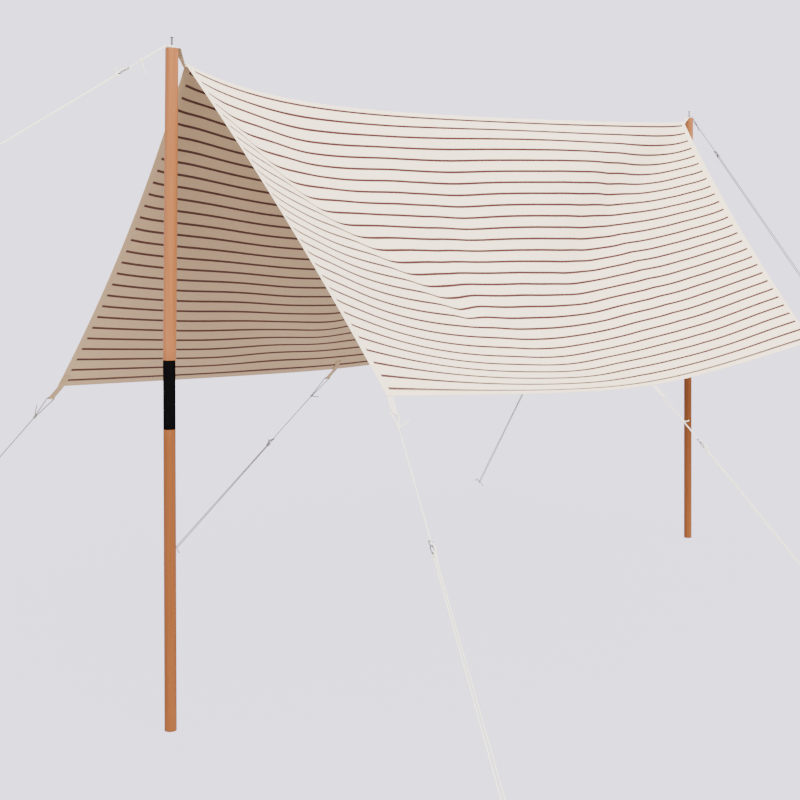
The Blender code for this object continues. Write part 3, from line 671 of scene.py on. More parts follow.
def canvas_finish(settings, below):
    """Cotton canvas with thin woven stripes that run along the ridge.

    The cloth map's x is the distance from the front edge and its y the distance
    from the ridge, in metres, so a stripe is wherever y over the pitch is near a
    whole number and a half.
    """
    # The under side's copy wears painted shade: darker, warmer cloth and stripes for the shade
    # under the sheet.
    colour = tuple(settings.under_colour if below else settings.top_colour)
    stripe = tuple(settings.painted_shade_stripe_colour if below else settings.stripe_colour)
    made = Finish("canvas_below" if below else "canvas_above", 0.92)
    made.set("Specular IOR Level", 0.05)
    made.set("Sheen Weight", 0.02)
    made.set("Sheen Roughness", 0.6)
    cloth = made.cloth()
    x, y, _ = made.parts(cloth)
    count = made.math("DIVIDE", made.math("ABSOLUTE", y), settings.stripe_pitch)
    away = made.math("ABSOLUTE", made.math("SUBTRACT", made.math("FRACT", count), 0.5))
    slub = made.noise(made.stretch(cloth, (30.0, 900.0, 1.0)), 1.0, 2.0)
    edge = settings.stripe_width / settings.stripe_pitch / 2
    wobble = made.math("ADD", away, made.span(slub, 0.3, 0.7, -0.004, 0.004))
    on_stripe = made.span(wobble, edge * 0.86, edge * 1.14, 1.0, 0.0)
    inside_front = made.span(x, settings.hem_width - 0.0004, settings.hem_width + 0.0004)
    rear_line = SHEET_LENGTH - settings.hem_width
    inside_rear = made.span(x, rear_line - 0.0004, rear_line + 0.0004, 1.0, 0.0)
    on_stripe = made.math("MULTIPLY", on_stripe, made.math("MULTIPLY", inside_front, inside_rear))
    soil = made.noise(made.stretch(cloth, (1.6, 4.0, 1.0)), 1.0, 4.0, 0.6)
    tone = made.blend(made.span(soil, 0.35, 0.7), tuple(c * 0.955 for c in colour), colour)
    thread = made.noise(made.stretch(cloth, (60.0, 1400.0, 1.0)), 1.0, 2.0)
    tone = made.blend(made.span(thread, 0.35, 0.7, 0.0, 0.22), tone,
                      tuple(c * 0.86 for c in colour))
    woven = weave(made, cloth, CANVAS_THREADS)
    # Painted shade: the weave's low points are darkened, the shade between the threads.
    tone = made.blend(made.span(woven, -1.0, 1.0, 0.10, 0.0), tone,
                      tuple(c * 0.75 for c in colour))
    dyed = made.blend(made.span(thread, 0.3, 0.7, 0.0, 0.35), stripe,
                      tuple(min(c * 1.9, 1.0) for c in stripe))
    made.feed("Base Color", made.blend(on_stripe, tone, dyed))
    lift = made.bump(woven, 0.00025, 0.55)
    crease = made.noise(made.stretch(cloth, (9.0, 16.0, 1.0)), 1.0, 3.0, 0.55)
    made.feed("Normal", made.bump(crease, 0.004, 0.35, lift))
    return made.material


def webbing_finish(name, colour):
    """Close woven cotton tape: ribs along it, crossed by finer threads."""
    colour = tuple(colour)
    made = Finish(name, 0.88)
    made.set("Specular IOR Level", 0.1)
    cloth = made.cloth()
    x, y, _ = made.parts(cloth)
    rib = made.math("SINE", made.math("MULTIPLY", y, 2 * math.pi / WEBBING_RIBS))
    run = made.math("MULTIPLY", x, 2 * math.pi / WEBBING_THREADS)
    thread = made.math("SINE", made.math("ADD", run, made.math("MULTIPLY", rib, 1.2)))
    height = made.math("ADD", made.math("MULTIPLY", rib, 0.6), made.math("MULTIPLY", thread, 0.4))
    fuzz = made.noise(made.stretch(cloth, (300.0, 300.0, 1.0)), 1.0, 3.0)
    # Painted shade: the tape is darker where its ribs and threads are low, the shade between them;
    # the fuzz below is random tone.
    tone = made.blend(made.span(height, -1.0, 1.0, 0.45, 0.0), colour,
                      tuple(c * 0.72 for c in colour))
    tone = made.blend(made.span(fuzz, 0.35, 0.7, 0.0, 0.25), tone, tuple(c * 0.85 for c in colour))
    made.feed("Base Color", tone)
    made.feed("Normal", made.bump(height, 0.0005, 0.6))
    return made.material


def cord_finish(name, colour):
    """Braided cord: two sets of slanting strands that cross, from the cloth map."""
    made = Finish(name, 0.9)
    made.set("Specular IOR Level", 0.1)
    cloth = made.cloth()
    x, y, _ = made.parts(cloth)
    lean = 2 * math.pi / CORD_STRANDS
    left = made.math("SINE", made.math("MULTIPLY", made.math("ADD", x, y), lean))
    right = made.math("SINE", made.math("MULTIPLY", made.math("SUBTRACT", x, y), lean))
    height = made.math("MAXIMUM", left, right)
    # Painted shade: the cord is darker between its strands, where shade falls.
    tone = made.blend(made.span(height, -0.4, 1.0, 0.6, 0.0), tuple(colour),
                      tuple(c * 0.80 for c in colour))
    made.feed("Base Color", tone)
    made.feed("Normal", made.bump(height, 0.0004, 0.7))
    return made.material


def wood_finish(name, colour):
    """Oiled close-grained wood: long streaks, short pores and slow tone changes."""
    colour = tuple(colour)
    made = Finish(name, WOOD_ROUGHNESS)
    made.set("Specular IOR Level", 0.06)
    place = made.place()
    slow = made.noise(made.stretch(place, (14.0, 14.0, 0.9)), 1.0, 3.0, 0.55, 0.4)
    streak = made.noise(made.stretch(place, (160.0, 160.0, 3.2)), 1.0, 4.0, 0.6, 0.3)
    pores = made.noise(made.stretch(place, (900.0, 900.0, 45.0)), 1.0, 2.0, 0.6)
    dark = (colour[0] * 0.78, colour[1] * 0.68, colour[2] * 0.58)
    light = (min(colour[0] * 1.10, 1.0), colour[1] * 1.14, colour[2] * 1.20)
    tone = made.blend(made.span(slow, 0.3, 0.7), colour, light)
    tone = made.blend(made.span(streak, 0.42, 0.78, 0.0, 0.85), tone, dark)
    tone = made.blend(made.span(pores, 0.58, 0.75, 0.0, 0.5), tone,
                      tuple(c * 0.62 for c in colour))
    made.feed("Base Color", tone)
    made.feed("Roughness", made.span(streak, 0.3, 0.8,
                                     WOOD_ROUGHNESS - 0.06, WOOD_ROUGHNESS + 0.1))
    made.feed("Normal", made.bump(streak, 0.0004, 0.35, made.bump(pores, 0.0002, 0.3)))
    return made.material


def sleeve_finish(colour):
    """Black sleeve: matt, with a fine drawn texture and faint rub marks."""
    made = Finish("black_sleeve", 0.7)
    made.set("Specular IOR Level", 0.0)
    place = made.place()
    drawn = made.noise(made.stretch(place, (500.0, 500.0, 18.0)), 1.0, 2.0)
    rub = made.noise(made.stretch(place, (60.0, 60.0, 22.0)), 1.0, 4.0, 0.7)
    made.feed("Base Color", made.blend(made.span(rub, 0.55, 0.8, 0.0, 0.7), tuple(colour),
                                       tuple(c * 2 for c in colour)))
    made.feed("Roughness", made.span(rub, 0.3, 0.7, 0.62, 0.78))
    made.feed("Normal", made.bump(drawn, 0.0002, 0.25))
    return made.material


def steel_finish(name, colour, roughness):
    """Drawn steel: fine scratches and a little uneven gloss."""
    made = Finish(name, roughness, 1.0)
    place = made.place()
    scratch = made.noise(made.stretch(place, (1500.0, 1500.0, 260.0)), 1.0, 3.0, 0.6)
    cloud = made.noise(made.stretch(place, (120.0, 120.0, 120.0)), 1.0, 3.0, 0.6)
    made.feed("Base Color", made.blend(made.span(cloud, 0.35, 0.7), tuple(colour),
                                       tuple(c * 0.78 for c in colour)))
    made.feed("Roughness", made.span(cloud, 0.3, 0.7, roughness - 0.06, roughness + 0.14))
    made.feed("Normal", made.bump(scratch, 0.00008, 0.4))
    return made.material


def thread_finish(name, shade):
    """Sewing thread, a little yellower than the cloth; the shade darkens it."""
    made = Finish(name, 0.7)
    cloth = made.cloth()
    x, y, _ = made.parts(cloth)
    lean = 2 * math.pi / THREAD_TWIST
    twist = made.math("SINE", made.math("MULTIPLY", made.math("ADD", x, y), lean))
    # Painted shade: the thread is darker along the grooves of its twist.
    made.feed("Base Color", made.blend(made.span(twist, -1.0, 1.0),
                                       tuple(c * shade for c in (0.62, 0.52, 0.32)),
                                       tuple(c * shade for c in (0.80, 0.72, 0.48))))
    return made.material


def shared(maker, name, *values):
    """The material of that name, made the first time it is asked for."""
    return bpy.data.materials.get(name) or maker(name, *values)


def webbings(fittings):
    """The webbing in the light and in the shade."""
    return (shared(webbing_finish, "webbing", fittings.webbing_colour),
            shared(webbing_finish, "shaded_webbing", fittings.shaded_webbing_colour))


def bright_steel(fittings):
    return shared(steel_finish, "bright_steel", fittings.steel_colour, STEEL_ROUGHNESS)


# The sheet's surface

def ridge_line(along):
    """Ridge: a straight line less a drop of (1 - e^(-along/fall)) (1 - along)^power."""
    front, rear = np.array(RIDGE_FRONT), np.array(RIDGE_REAR)
    line = front + (rear - front) * along[..., None]
    drop = (1 - np.exp(-along / RIDGE_FALL)) * (1 - along) ** RIDGE_RISE_POWER
    line[..., 2] -= RIDGE_SAG * drop
    return line


def hem_line(along, down, panel):
    """Lower edge: front + (rear - front) along + (middle - mean of both ends) peak.

    The peak is h(1) - h(2 along - 1) over h(1) - h(0), where h(t) is the root of
    t^2 + soft^2, and soft is the panel's softness, greater for the cloth higher up.
    """
    front, middle, rear = (np.array(panel[end]) for end in ("front", "middle", "rear"))
    soft = panel["softness"][0] + panel["softness"][1] * (1 - down)
    peak = (np.hypot(1.0, soft) - np.hypot(2 * along - 1, soft)) / (np.hypot(1.0, soft) - soft)
    return (front + (rear - front) * along[..., None]
            + (middle - (front + rear) / 2) * peak[..., None])


def belly_depth(along, down, panel):
    """Inward hang: a depth that grows from both ends, times sin(pi down^power).

    The growth from each end is 1 - e^(-distance/reach), where the reach may widen
    down the panel, and the depth changes evenly from front to rear. The power goes
    from its own value at the middle to 1 at the ends.
    """
    front_reach, rear_reach = panel["front_reach"], panel["rear_reach"]
    growth = 1 - np.exp(-along / (front_reach[0] + front_reach[1] * down))
    growth = growth * (1 - np.exp(-(1 - along) / (rear_reach[0] + rear_reach[1] * down)))
    middle_power = panel["belly_power"]
    power = middle_power + (1 - middle_power) * (2 * along - 1) ** 2
    depth = panel["belly"] * (1 + panel["belly_to_rear"] * (along - 0.5))
    return depth * growth * np.sin(math.pi * down ** power)


def fold_depth(along, down, panel):
    """Soft folds: height e^(-(distance/width)^2) about a line across the flat cloth.

    The sum of the folds is multiplied by 1 - e^(-(distance/free)^2) for each edge.
    """
    x, y = along * SHEET_LENGTH, down * PANEL_WIDTH
    depth = np.zeros(along.shape)
    for (x0, y0), (x1, y1), width, height in panel["folds"]:
        run, fall = x1 - x0, y1 - y0
        share = ((x - x0) * run + (y - y0) * fall) / (run ** 2 + fall ** 2)
        share = np.clip(share, 0.0, 1.0)
        away = (x - x0 - run * share) ** 2 + (y - y0 - fall * share) ** 2
        depth += height * np.exp(-away / width ** 2)
    for distance, free in (
        (x, FOLD_FREE_ENDS), (SHEET_LENGTH - x, FOLD_FREE_ENDS),
        (y, FOLD_FREE_RIDGE), (PANEL_WIDTH - y, FOLD_FREE_HEM),
    ):
        depth *= 1 - np.exp(-(distance / free) ** 2)
    return depth


def sheet_surface(along, down, near):
    """Middle of the cloth at shares along the ridge and down one panel.

    Ridge plus (hem - ridge) times down, bowed at both ends, then moved along the
    panel's inward way by the depth of the belly and the folds.
    """
    panel = NEAR_PANEL if near else FAR_PANEL
    along, down = np.broadcast_arrays(np.asarray(along, float), np.asarray(down, float))
    ridge, hem = ridge_line(along), hem_line(along, down, panel)
    point = ridge + (hem - ridge) * down[..., None]
    bow = panel["front_bow"] * (1 - along) ** 6 - panel["rear_bow"] * along ** 6
    point[..., 0] += bow * 4 * down * (1 - down)
    slope = unit(hem - ridge)
    inward = unit(np.stack([np.zeros_like(along), -slope[..., 2], slope[..., 1]], axis=-1))
    inward *= np.where(inward[..., 2:] > 0, -1.0, 1.0)
    depth = belly_depth(along, down, panel) + fold_depth(along, down, panel)
    return point + inward * depth[..., None]


def sheet_up(along, down, near):
    """Outward normal of the cloth: the cross of its slopes along and down."""
    along, down = np.broadcast_arrays(np.asarray(along, float), np.asarray(down, float))
    low_a, high_a = np.maximum(along - SLOPE_STEP, 0), np.minimum(along + SLOPE_STEP, 1)
    low_d, high_d = np.maximum(down - SLOPE_STEP, 0), np.minimum(down + SLOPE_STEP, 1)
    run = sheet_surface(high_a, down, near) - sheet_surface(low_a, down, near)
    fall = sheet_surface(along, high_d, near) - sheet_surface(along, low_d, near)
    return unit(np.cross(run, fall)) * (-1.0 if near else 1.0)


def edge_shares(count, hem, length, both):
    """Shares of a length, with extra ones at the folded border's line."""
    steps = np.array(HEM_STEPS) * hem / length
    inner = np.linspace(steps[-1], 1 - steps[-1] if both else 1.0, count)
    ends = 1 - steps[-2::-1] if both else np.zeros(0)
    return np.concatenate([steps[:-1], inner, ends])


def cloth_grid(settings):
    """The whole cloth from the near hem over the ridge to the far hem.

    Gives the middle surface, its upper normals and the cloth map: the distance
    along the sheet, and the distance from the ridge, which is negative on the
    near panel and is drawn out so that every panel is as wide as it was cut.
    """
    along = edge_shares(SHEET_COLUMNS, settings.hem_width, SHEET_LENGTH, True)
    from_hem = edge_shares(PANEL_ROWS, settings.hem_width, PANEL_WIDTH, False)
    down = (1 - from_hem)[::-1]
    halves = []
    for near in (True, False):
        points = sheet_surface(along[:, None], down[None, :], near)
        normals = sheet_up(along[:, None], down[None, :], near)
        steps = np.linalg.norm(np.diff(points, axis=1), axis=2)
        reach = np.concatenate([np.zeros((len(along), 1)), np.cumsum(steps, axis=1)], axis=1)
        reach *= PANEL_WIDTH / reach[:, -1:]
        halves.append((points, normals, reach))
    (near_points, near_up, near_reach), (far_points, far_up, far_reach) = halves
    points = np.concatenate([near_points[:, ::-1], far_points[:, 1:]], axis=1)
    ridge_up = unit(near_up[:, :1] + far_up[:, :1])
    normals = np.concatenate([near_up[:, :0:-1], ridge_up, far_up[:, 1:]], axis=1)
    across = np.concatenate([-near_reach[:, ::-1], far_reach[:, 1:]], axis=1)
    length = np.broadcast_to(along[:, None] * SHEET_LENGTH, across.shape)
    return points, normals, np.stack([length, across], axis=2)


def sheet_shape(settings):
    """Two skins half a thickness above and below the cloth, closed round the edge."""
    points, normals, cloth = cloth_grid(settings)
    length, across = cloth[..., 0], np.abs(cloth[..., 1])
    from_edge = np.minimum(np.minimum(length, SHEET_LENGTH - length), PANEL_WIDTH - across)
    fold = 1 - ease(from_edge, settings.hem_width * 0.97, settings.hem_width * 1.03)
    half = (settings.thickness + settings.hem_extra * fold)[..., None] / 2
    rows, columns = points.shape[:2]
    top, bottom = points + normals * half, points - normals * half
    count = rows * columns
    faces = grid_faces(rows, columns)
    uv = cloth.reshape(-1, 2)
    border = np.concatenate([
        np.arange(columns), np.arange(1, rows) * columns + columns - 1,
        (rows - 1) * columns + np.arange(columns - 2, -1, -1),
        np.arange(rows - 2, 0, -1) * columns,
    ])
    after = np.roll(border, -1)
    rim = np.stack([border, after, count + after, count + border], axis=1)
    quads = np.vstack([faces, count + faces[:, ::-1], rim])
    both = np.vstack([uv, uv])
    points = np.vstack([top.reshape(-1, 3), bottom.reshape(-1, 3)])
    shape = quad_shape(points, quads, both[quads])
    # Faces of the lower skin wear the canvas copy with painted shade.
    below = np.zeros(len(quads))
    below[len(faces):2 * len(faces)] = 1
    return outward(shape), below


# Straps, guys and what is on them

def box_centre(node):
    low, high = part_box(node)
    return (np.array(low) + np.array(high)) / 2


def strap_frame(name):
    """Where a side strap leaves the sheet, and how it runs on to its guy."""
    near = name.startswith("near")
    along = GUYS[name]["sewn"]
    normal = sheet_up(along, 1.0, near)
    corner = sheet_surface(along, 1.0, near) - normal * STRAP_DEPTH
    peg = np.array([*GUYS[name]["peg"], PEG_LOOP_HEIGHT])
    towards = unit(peg - corner)
    leave = unit(towards - normal * towards.dot(normal))
    bend = corner + leave * STRAP_BEND
    guy = unit(peg - bend)
    return {"near": near, "along_sheet": along, "normal": normal, "leave": leave,
            "bend": bend, "guy": guy, "across": unit(np.cross(normal, leave)),
            "eye": bend + guy * (STRAP_REACH - STRAP_BEND)}


def pole_top(front):
    """Middle of the pole's top: the middle of its pin, at the height of the wood."""
    label = "front" if front else "rear"
    top = box_centre(f"{label}_pole_pin")
    top[2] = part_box(f"{label}_pole_upper")[1][2]
    return top


def guy_frame(name):
    """Directions of one guy: down its length, across it and out of both."""
    peg = np.array([*GUYS[name]["peg"], PEG_LOOP_HEIGHT])
    if "ridge" in name:
        radius = bpy.context.scene.canopy_fitting_settings.cord_radius
        start = pole_top(name.startswith("front"))
        start = start + np.array([0.0, 0.0, GAP + STRAP_THICKNESS + GAP + radius])
        away = unit([peg[0] - start[0], peg[1] - start[1], 0.0])
        rim = start + away * GUY_RIM
        guy = unit(peg - rim)
        across = unit(np.cross(away, (0.0, 0.0, 1.0)))
        found = {"start": rim, "pin": start, "away": away}
    else:
        strap = strap_frame(name)
        guy = unit(peg - strap["eye"])
        across = unit(strap["across"] - guy * strap["across"].dot(guy))
        found = {"start": strap["eye"]}
    out = np.cross(guy, across)
    found.update({"peg": peg, "guy": guy, "across": across,
                  "out": out if out[2] > 0 else -out})
    return found


def strap_shape(name):
    """One side strap: sewn under the sheet, folded back on itself to make an eye.

    Its middle line runs under the cloth to the corner, bends towards the peg, goes
    round the eye as an arc, and lies back on itself for the length of the seam.
    """
    frame_of = strap_frame(name)
    half_layer = STRAP_THICKNESS / 4
    step = SLOPE_STEP
    at, near = frame_of["along_sheet"], frame_of["near"]
    low_a, high_a = max(at - step, 0.0), min(at + step, 1.0)
    run = (sheet_surface(high_a, 1.0, near) - sheet_surface(low_a, 1.0, near)) / (high_a - low_a)
    fall = (sheet_surface(at, 1.0, near) - sheet_surface(at, 1.0 - step, near)) / step
    back = np.linspace(1.0, 0.0, 9)[:, None] * STRAP_TAIL
    offsets = -frame_of["leave"] * back
    shares = np.linalg.lstsq(np.stack([run, fall], axis=1), offsets.T, rcond=None)[0].T
    alongs = np.clip(at + shares[:, 0], 0.0, 1.0)
    downs = np.clip(1.0 + shares[:, 1], 0.0, 1.0)
    up = sheet_up(alongs, downs, near)
    under = sheet_surface(alongs, downs, near) - up * (STRAP_DEPTH - half_layer)
    guy, across = frame_of["guy"], frame_of["across"]
    flat = unit(np.cross(guy, across))
    flat = flat if flat.dot(frame_of["normal"]) > 0 else -flat
    eye = frame_of["eye"]
    bend = frame_of["bend"] + frame_of["normal"] * half_layer
    turns = np.radians(np.linspace(-60.0, 240.0, 19))[:, None]
    loop = eye + EYE_RADIUS * (np.sin(turns) * guy + np.cos(turns) * flat)
    neck_middle = eye - guy * (EYE_RADIUS + EYE_NECK)
    neck, back_neck = neck_middle + flat * half_layer, neck_middle - flat * half_layer
    inner = bend - frame_of["normal"] * 2 * half_layer
    fold_end = under[5:] - up[5:] * 2 * half_layer
    middle = np.vstack([under, bend, mix(bend, neck, 0.6), neck, loop,
                        back_neck, mix(inner, back_neck, 0.6), inner, fold_end[::-1]])
    path = smooth_path(middle, 3)
    tangent = unit(np.gradient(path, axis=0))
    sideways = unit(across - tangent * (tangent @ across)[:, None])
    return ribbon(path, sideways, np.cross(sideways, tangent), STRAP_WIDTH,
                  STRAP_THICKNESS / 2 - 0.0002)


def ridge_strap_rows(front):
    """Rows across a ridge strap: over the pole top, past its rim, under the ridge.

    Under the ridge the row bends softly from panel to panel, by the root of
    spread^2 + 0.03, where the spread is one at the strap's edges.
    """
    top = pole_top(front)
    sign = 1.0 if front else -1.0
    lie = GAP + STRAP_THICKNESS / 2
    places = np.linspace(-1.0, 1.0, STRAP_POINTS)[:, None]
    side = places * np.array([0.0, 1.0, 0.0]) * STRAP_WIDTH / 2
    up = np.tile((0.0, 0.0, 1.0), (STRAP_POINTS, 1))
    rows, normals = [], []
    for run in TOP_ROWS:
        rows.append(top + np.array([sign * run, 0.0, lie]) + side)
        normals.append(up)

    def under_ridge(step):
        along = (0.0 if front else 1.0) + sign * step / SHEET_LENGTH
        share = STRAP_WIDTH / 2 / PANEL_WIDTH
        near_up, far_up = sheet_up(along, share, True), sheet_up(along, share, False)
        middle_up = unit(near_up + far_up)
        near_end = sheet_surface(along, share, True) - near_up * STRAP_DEPTH
        far_end = sheet_surface(along, share, False) - far_up * STRAP_DEPTH
        middle = ridge_line(np.array(along)) - middle_up * STRAP_DEPTH / middle_up.dot(near_up)
        spread = np.abs(places)
        soft = np.sqrt(spread ** 2 + 0.03) / math.sqrt(1.03)
        ends = np.where(places < 0, near_end, far_end)
        ups = np.where(places < 0, near_up, far_up)
        return mix(middle, ends, soft), unit(mix(middle_up, ups, np.minimum(spread * 2, 1.0)))

    inner, inner_up = under_ridge(SEWN_TO)
    outer, outer_up = under_ridge(SEWN_FROM)
    mouth = outer - (inner - outer) * MOUTH / (SEWN_TO - SEWN_FROM)
    rim = top + np.array([sign * RIM_REACH, 0.0, lie - RIM_DROP]) + side
    rim_up = unit(np.array([sign * RIM_UP[0], 0.0, RIM_UP[1]]))
    for share in (0.0, 0.25, 0.5, 0.75):
        rows.append(mix(rim, mouth, share))
        normals.append(unit(mix(rim_up, outer_up, share)))
    rows += [mouth, outer, mix(outer, inner, 0.5), inner]
    normals += [outer_up, outer_up, unit(outer_up + inner_up), inner_up]
    return np.array(rows), np.array(normals)


def ridge_strap_shape(front):
    """Skin half a thickness above and below the rows, closed round its edge."""
    rows, normals = ridge_strap_rows(front)
    shape = rows.shape
    rows = np.stack([smooth_path(rows[:, k], 3) for k in range(shape[1])], axis=1)
    normals = np.stack([smooth_path(normals[:, k], 3) for k in range(shape[1])], axis=1)
    half = unit(normals) * STRAP_THICKNESS / 2
    ring = np.concatenate([rows + half, (rows - half)[:, ::-1]], axis=1)
    length = arc_lengths(rows[:, shape[1] // 2])
    width = np.linspace(0.0, STRAP_WIDTH, shape[1])
    return skin(ring, length, np.concatenate([width, width[::-1]]))


def cut_hole(piece, centre, radius):
    """Take a round upright hole out of a piece, and keep the result as its mesh."""
    def upright(z):
        return np.full_like(z, centre[0]), np.full_like(z, centre[1])

    cutter_shape = lathe([(centre[2] - 0.006, radius), (centre[2] + 0.010, radius)],
                         upright, PIN_SIDES)
    mesh = bpy.data.meshes.new("hole")
    faces = cutter_shape["quads"].tolist() + cutter_shape["triangles"].tolist()
    mesh.from_pydata(cutter_shape["points"].tolist(), [], faces)
    cutter = bpy.data.objects.new("hole", mesh)
    bpy.context.scene.collection.objects.link(cutter)
    cut = piece.modifiers.new("hole", "BOOLEAN")
    cut.operation, cut.solver, cut.object = "DIFFERENCE", "EXACT", cutter
    bpy.context.view_layer.update()
    graph = bpy.context.evaluated_depsgraph_get()
    result = bpy.data.meshes.new_from_object(piece.evaluated_get(graph))
    piece.modifiers.clear()
    piece.data = result
    bpy.data.objects.remove(cutter)
    piece.data.shade_smooth()
    piece.data.set_sharp_from_angle(angle=math.radians(PLAIN_EDGE))


def knot_shape(centre, guy, across, radius, turns, length, width):
    """Wrapped knot: a helix of cord round the strands.

    The place along is length times the share, and the place round turns that many
    times at the width, which swells a little in the middle.
    """
    share = np.linspace(0.0, 1.0, int(turns * 14))
    angle = share * turns * 2 * math.pi
    out = np.cross(guy, across)
    swell = width * (0.85 + 0.25 * np.sin(math.pi * share))[:, None]
    path = (centre + guy * ((share - 0.5) * length)[:, None]
            + swell * (np.cos(angle)[:, None] * across + np.sin(angle)[:, None] * out))
    return bar_along(path, radius, guy, KNOT_SIDES)


def upper_loop_path(found, knot, radius):
    """The guy's upper loop, round the pole's pin or through the strap's eye."""
    guy, across, start = found["guy"], found["across"], found["start"]
    ends = radius * 1.1
    tip_left = knot - guy * 0.002 - across * ends
    tip_right = knot - guy * 0.002 + across * ends
    if "pin" in found:
        ring = PIN_RADIUS + GAP + radius + PIN_LOOP_CLEARANCE
        turns = np.radians(np.linspace(0.0, 180.0, 9))[:, None]
        round_pin = (found["pin"] - across * ring * np.cos(turns)
                     - found["away"] * ring * np.sin(turns))
        return np.vstack([
            tip_left, start + guy * 0.004 - across * ring * 0.95, start - across * ring,
            round_pin, start + across * ring, start + guy * 0.004 + across * ring * 0.95,
            tip_right])
    half = STRAP_WIDTH / 2 + EYE_LOOP_CLEARANCE
    return np.vstack([
        tip_left, mix(tip_left, start - across * half, 0.6), start + guy * 0.006 - across * half,
        start + guy * 0.0015 - across * (half - 0.0006), start - across * (half - 0.0026),
        start, start + across * (half - 0.0026), start + guy * 0.0015 + across * (half - 0.0006),
        start + guy * 0.006 + across * half, mix(tip_right, start + across * half, 0.6),
        tip_right])


def guy_shape(name, radius):
    """One guy: its loops, strands, knots and tails, each a round bar.

    The upper loop ends in the upper knot. One strand runs from there through the
    tensioner, round the peg and back to the lower knot, whose loop holds the
    tensioner's lower ring.
    """
    found = guy_frame(name)
    guy, across, out = found["guy"], found["across"], found["out"]
    knot = found["start"] + guy * GUYS[name]["knot"]
    middle = found["start"] + guy * GUYS[name]["tensioner"]
    top, low = -TENSIONER_LENGTH / 2, TENSIONER_LENGTH / 2
    waist = top + WAIST_FROM_TOP
    lift = TENSIONER_BAR / 2 + radius + LIFT_CLEARANCE
    right = across * (radius + STRAND_CLEARANCE)
    bend = found["peg"] + guy * (PEG_RADIUS + GAP + radius - HAIRPIN_RADIUS)
    turns = np.radians(np.linspace(0.0, 180.0, 9))[:, None]
    hairpin = bend + HAIRPIN_RADIUS * (across * np.cos(turns) + guy * np.sin(turns))
    low_knot = middle + guy * (low + LOWER_KNOT_BELOW) - across * LOWER_KNOT_ASIDE
    first = np.vstack([
        knot + guy * 0.001, middle + guy * (top - 0.012) + right * 0.5,
        middle + guy * (top - 0.002) + right - out * lift,
        middle + guy * (top + TENSIONER_BAR) + right - out * lift,
        middle + guy * (waist - TENSIONER_BAR / 2) + right + out * lift,
        middle + guy * (low + 0.002) + right + out * lift,
        middle + guy * (low + 0.020) + right * 1.3])
    pieces = [
        bar_along(np.vstack([smooth_path(first, 4), hairpin, low_knot + guy * 0.002]),
                  radius, out),
        bar_along(smooth_path(upper_loop_path(found, knot, radius), 4), radius, out),
    ]
    bar = middle + guy * (low - TENSIONER_BAR / 2) - right
    reach = TENSIONER_BAR / 2 + GAP + radius + STRAND_CLEARANCE
    pieces.append(bar_along(smooth_path([
        low_knot - guy * 0.001 - out * 0.0021, bar + guy * 0.001 - out * reach,
        bar - guy * 0.0030 - out * reach * 0.80, bar - guy * reach,
        bar - guy * 0.0030 + out * reach * 0.80, bar + guy * 0.001 + out * reach,
        low_knot - guy * 0.001 + out * 0.0021], 4), radius, across))
    for place, form in ((knot, UPPER_KNOT), (low_knot, LOWER_KNOT)):
        pieces.append(knot_shape(place, guy, across, radius * KNOT_CORD, **form))
    tail = np.array(GUYS[name]["tail"])
    pieces.append(bar_along(smooth_path([
        knot, knot + tail * 0.5 + guy * TAIL_CURL, knot + tail], 5), radius, guy))
    pieces.append(bar_along(smooth_path([
        low_knot, low_knot + (out * 0.8 - across * 0.5) * TAIL_LENGTH * 0.4,
        low_knot + (out * 0.9 - across * 0.5 - guy * 0.5) * TAIL_LENGTH * 0.8], 5),
        radius, guy))
    return joined(pieces)


def tensioner_shape(name):
    """Figure of eight: two rings of bar, each a squared circle.

    The ring's fall is sign(cos) |cos|^squareness times its half length, and its
    swing the same of the sine times its half width.
    """
    found = guy_frame(name)
    guy, across, out = found["guy"], found["across"], found["out"]
    middle = found["start"] + guy * GUYS[name]["tensioner"]
    bar = TENSIONER_BAR / 2
    top, low = -TENSIONER_LENGTH / 2, TENSIONER_LENGTH / 2
    waist = top + WAIST_FROM_TOP - bar

    def ring(start, end, width, thick):
        turns = np.arange(RING_SIDES) * 2 * math.pi / RING_SIDES
        fall = np.sign(np.cos(turns)) * np.abs(np.cos(turns)) ** SQUARENESS
        swing = np.sign(np.sin(turns)) * np.abs(np.sin(turns)) ** SQUARENESS
        path = (middle + guy * (start + end) / 2
                + ((end - start) / 2 - thick) * fall[:, None] * guy
                + (width / 2 - thick) * swing[:, None] * across)
        return bar_along(path, thick, out, 12, closed=True)

    upper = ring(top, waist + RING_OVERLAP * bar, TENSIONER_WIDTH - UPPER_RING_NARROWER,
                 bar * UPPER_RING_BAR)
    lower = ring(waist, low, TENSIONER_WIDTH, bar)
    return joined([upper, lower])


def peg_shape(name):
    """Round bar from the ground, leaning away from the pull, hooked at its top.

    Points of its foot that would lie under the ground slide up the lean to it.
    """
    found = guy_frame(name)
    guy, across = found["guy"], found["across"]
    lean = np.cross(across, guy)
    lean = lean if lean[2] > 0 else -lean
    foot = found["peg"] - lean * found["peg"][2] / lean[2]
    shank_top = foot + lean * PEG_SHANK
    shank = foot + lean * np.linspace(0.0, PEG_SHANK, 6)[:-1, None]
    turns = np.radians(np.linspace(0.0, 150.0, 16))[:, None]
    hook = (shank_top + guy * PEG_HOOK_RADIUS
            + PEG_HOOK_RADIUS * (np.sin(turns) * lean - np.cos(turns) * guy))
    path = np.vstack([shank, hook])
    made = bar_along(path, PEG_RADIUS, across, PEG_SIDES)
    low = made["points"][:, 2] < 0.0
    slide = made["points"][:, 2] / lean[2]
    made["points"] = made["points"] - np.where(low, slide, 0.0)[:, None] * lean
    return made


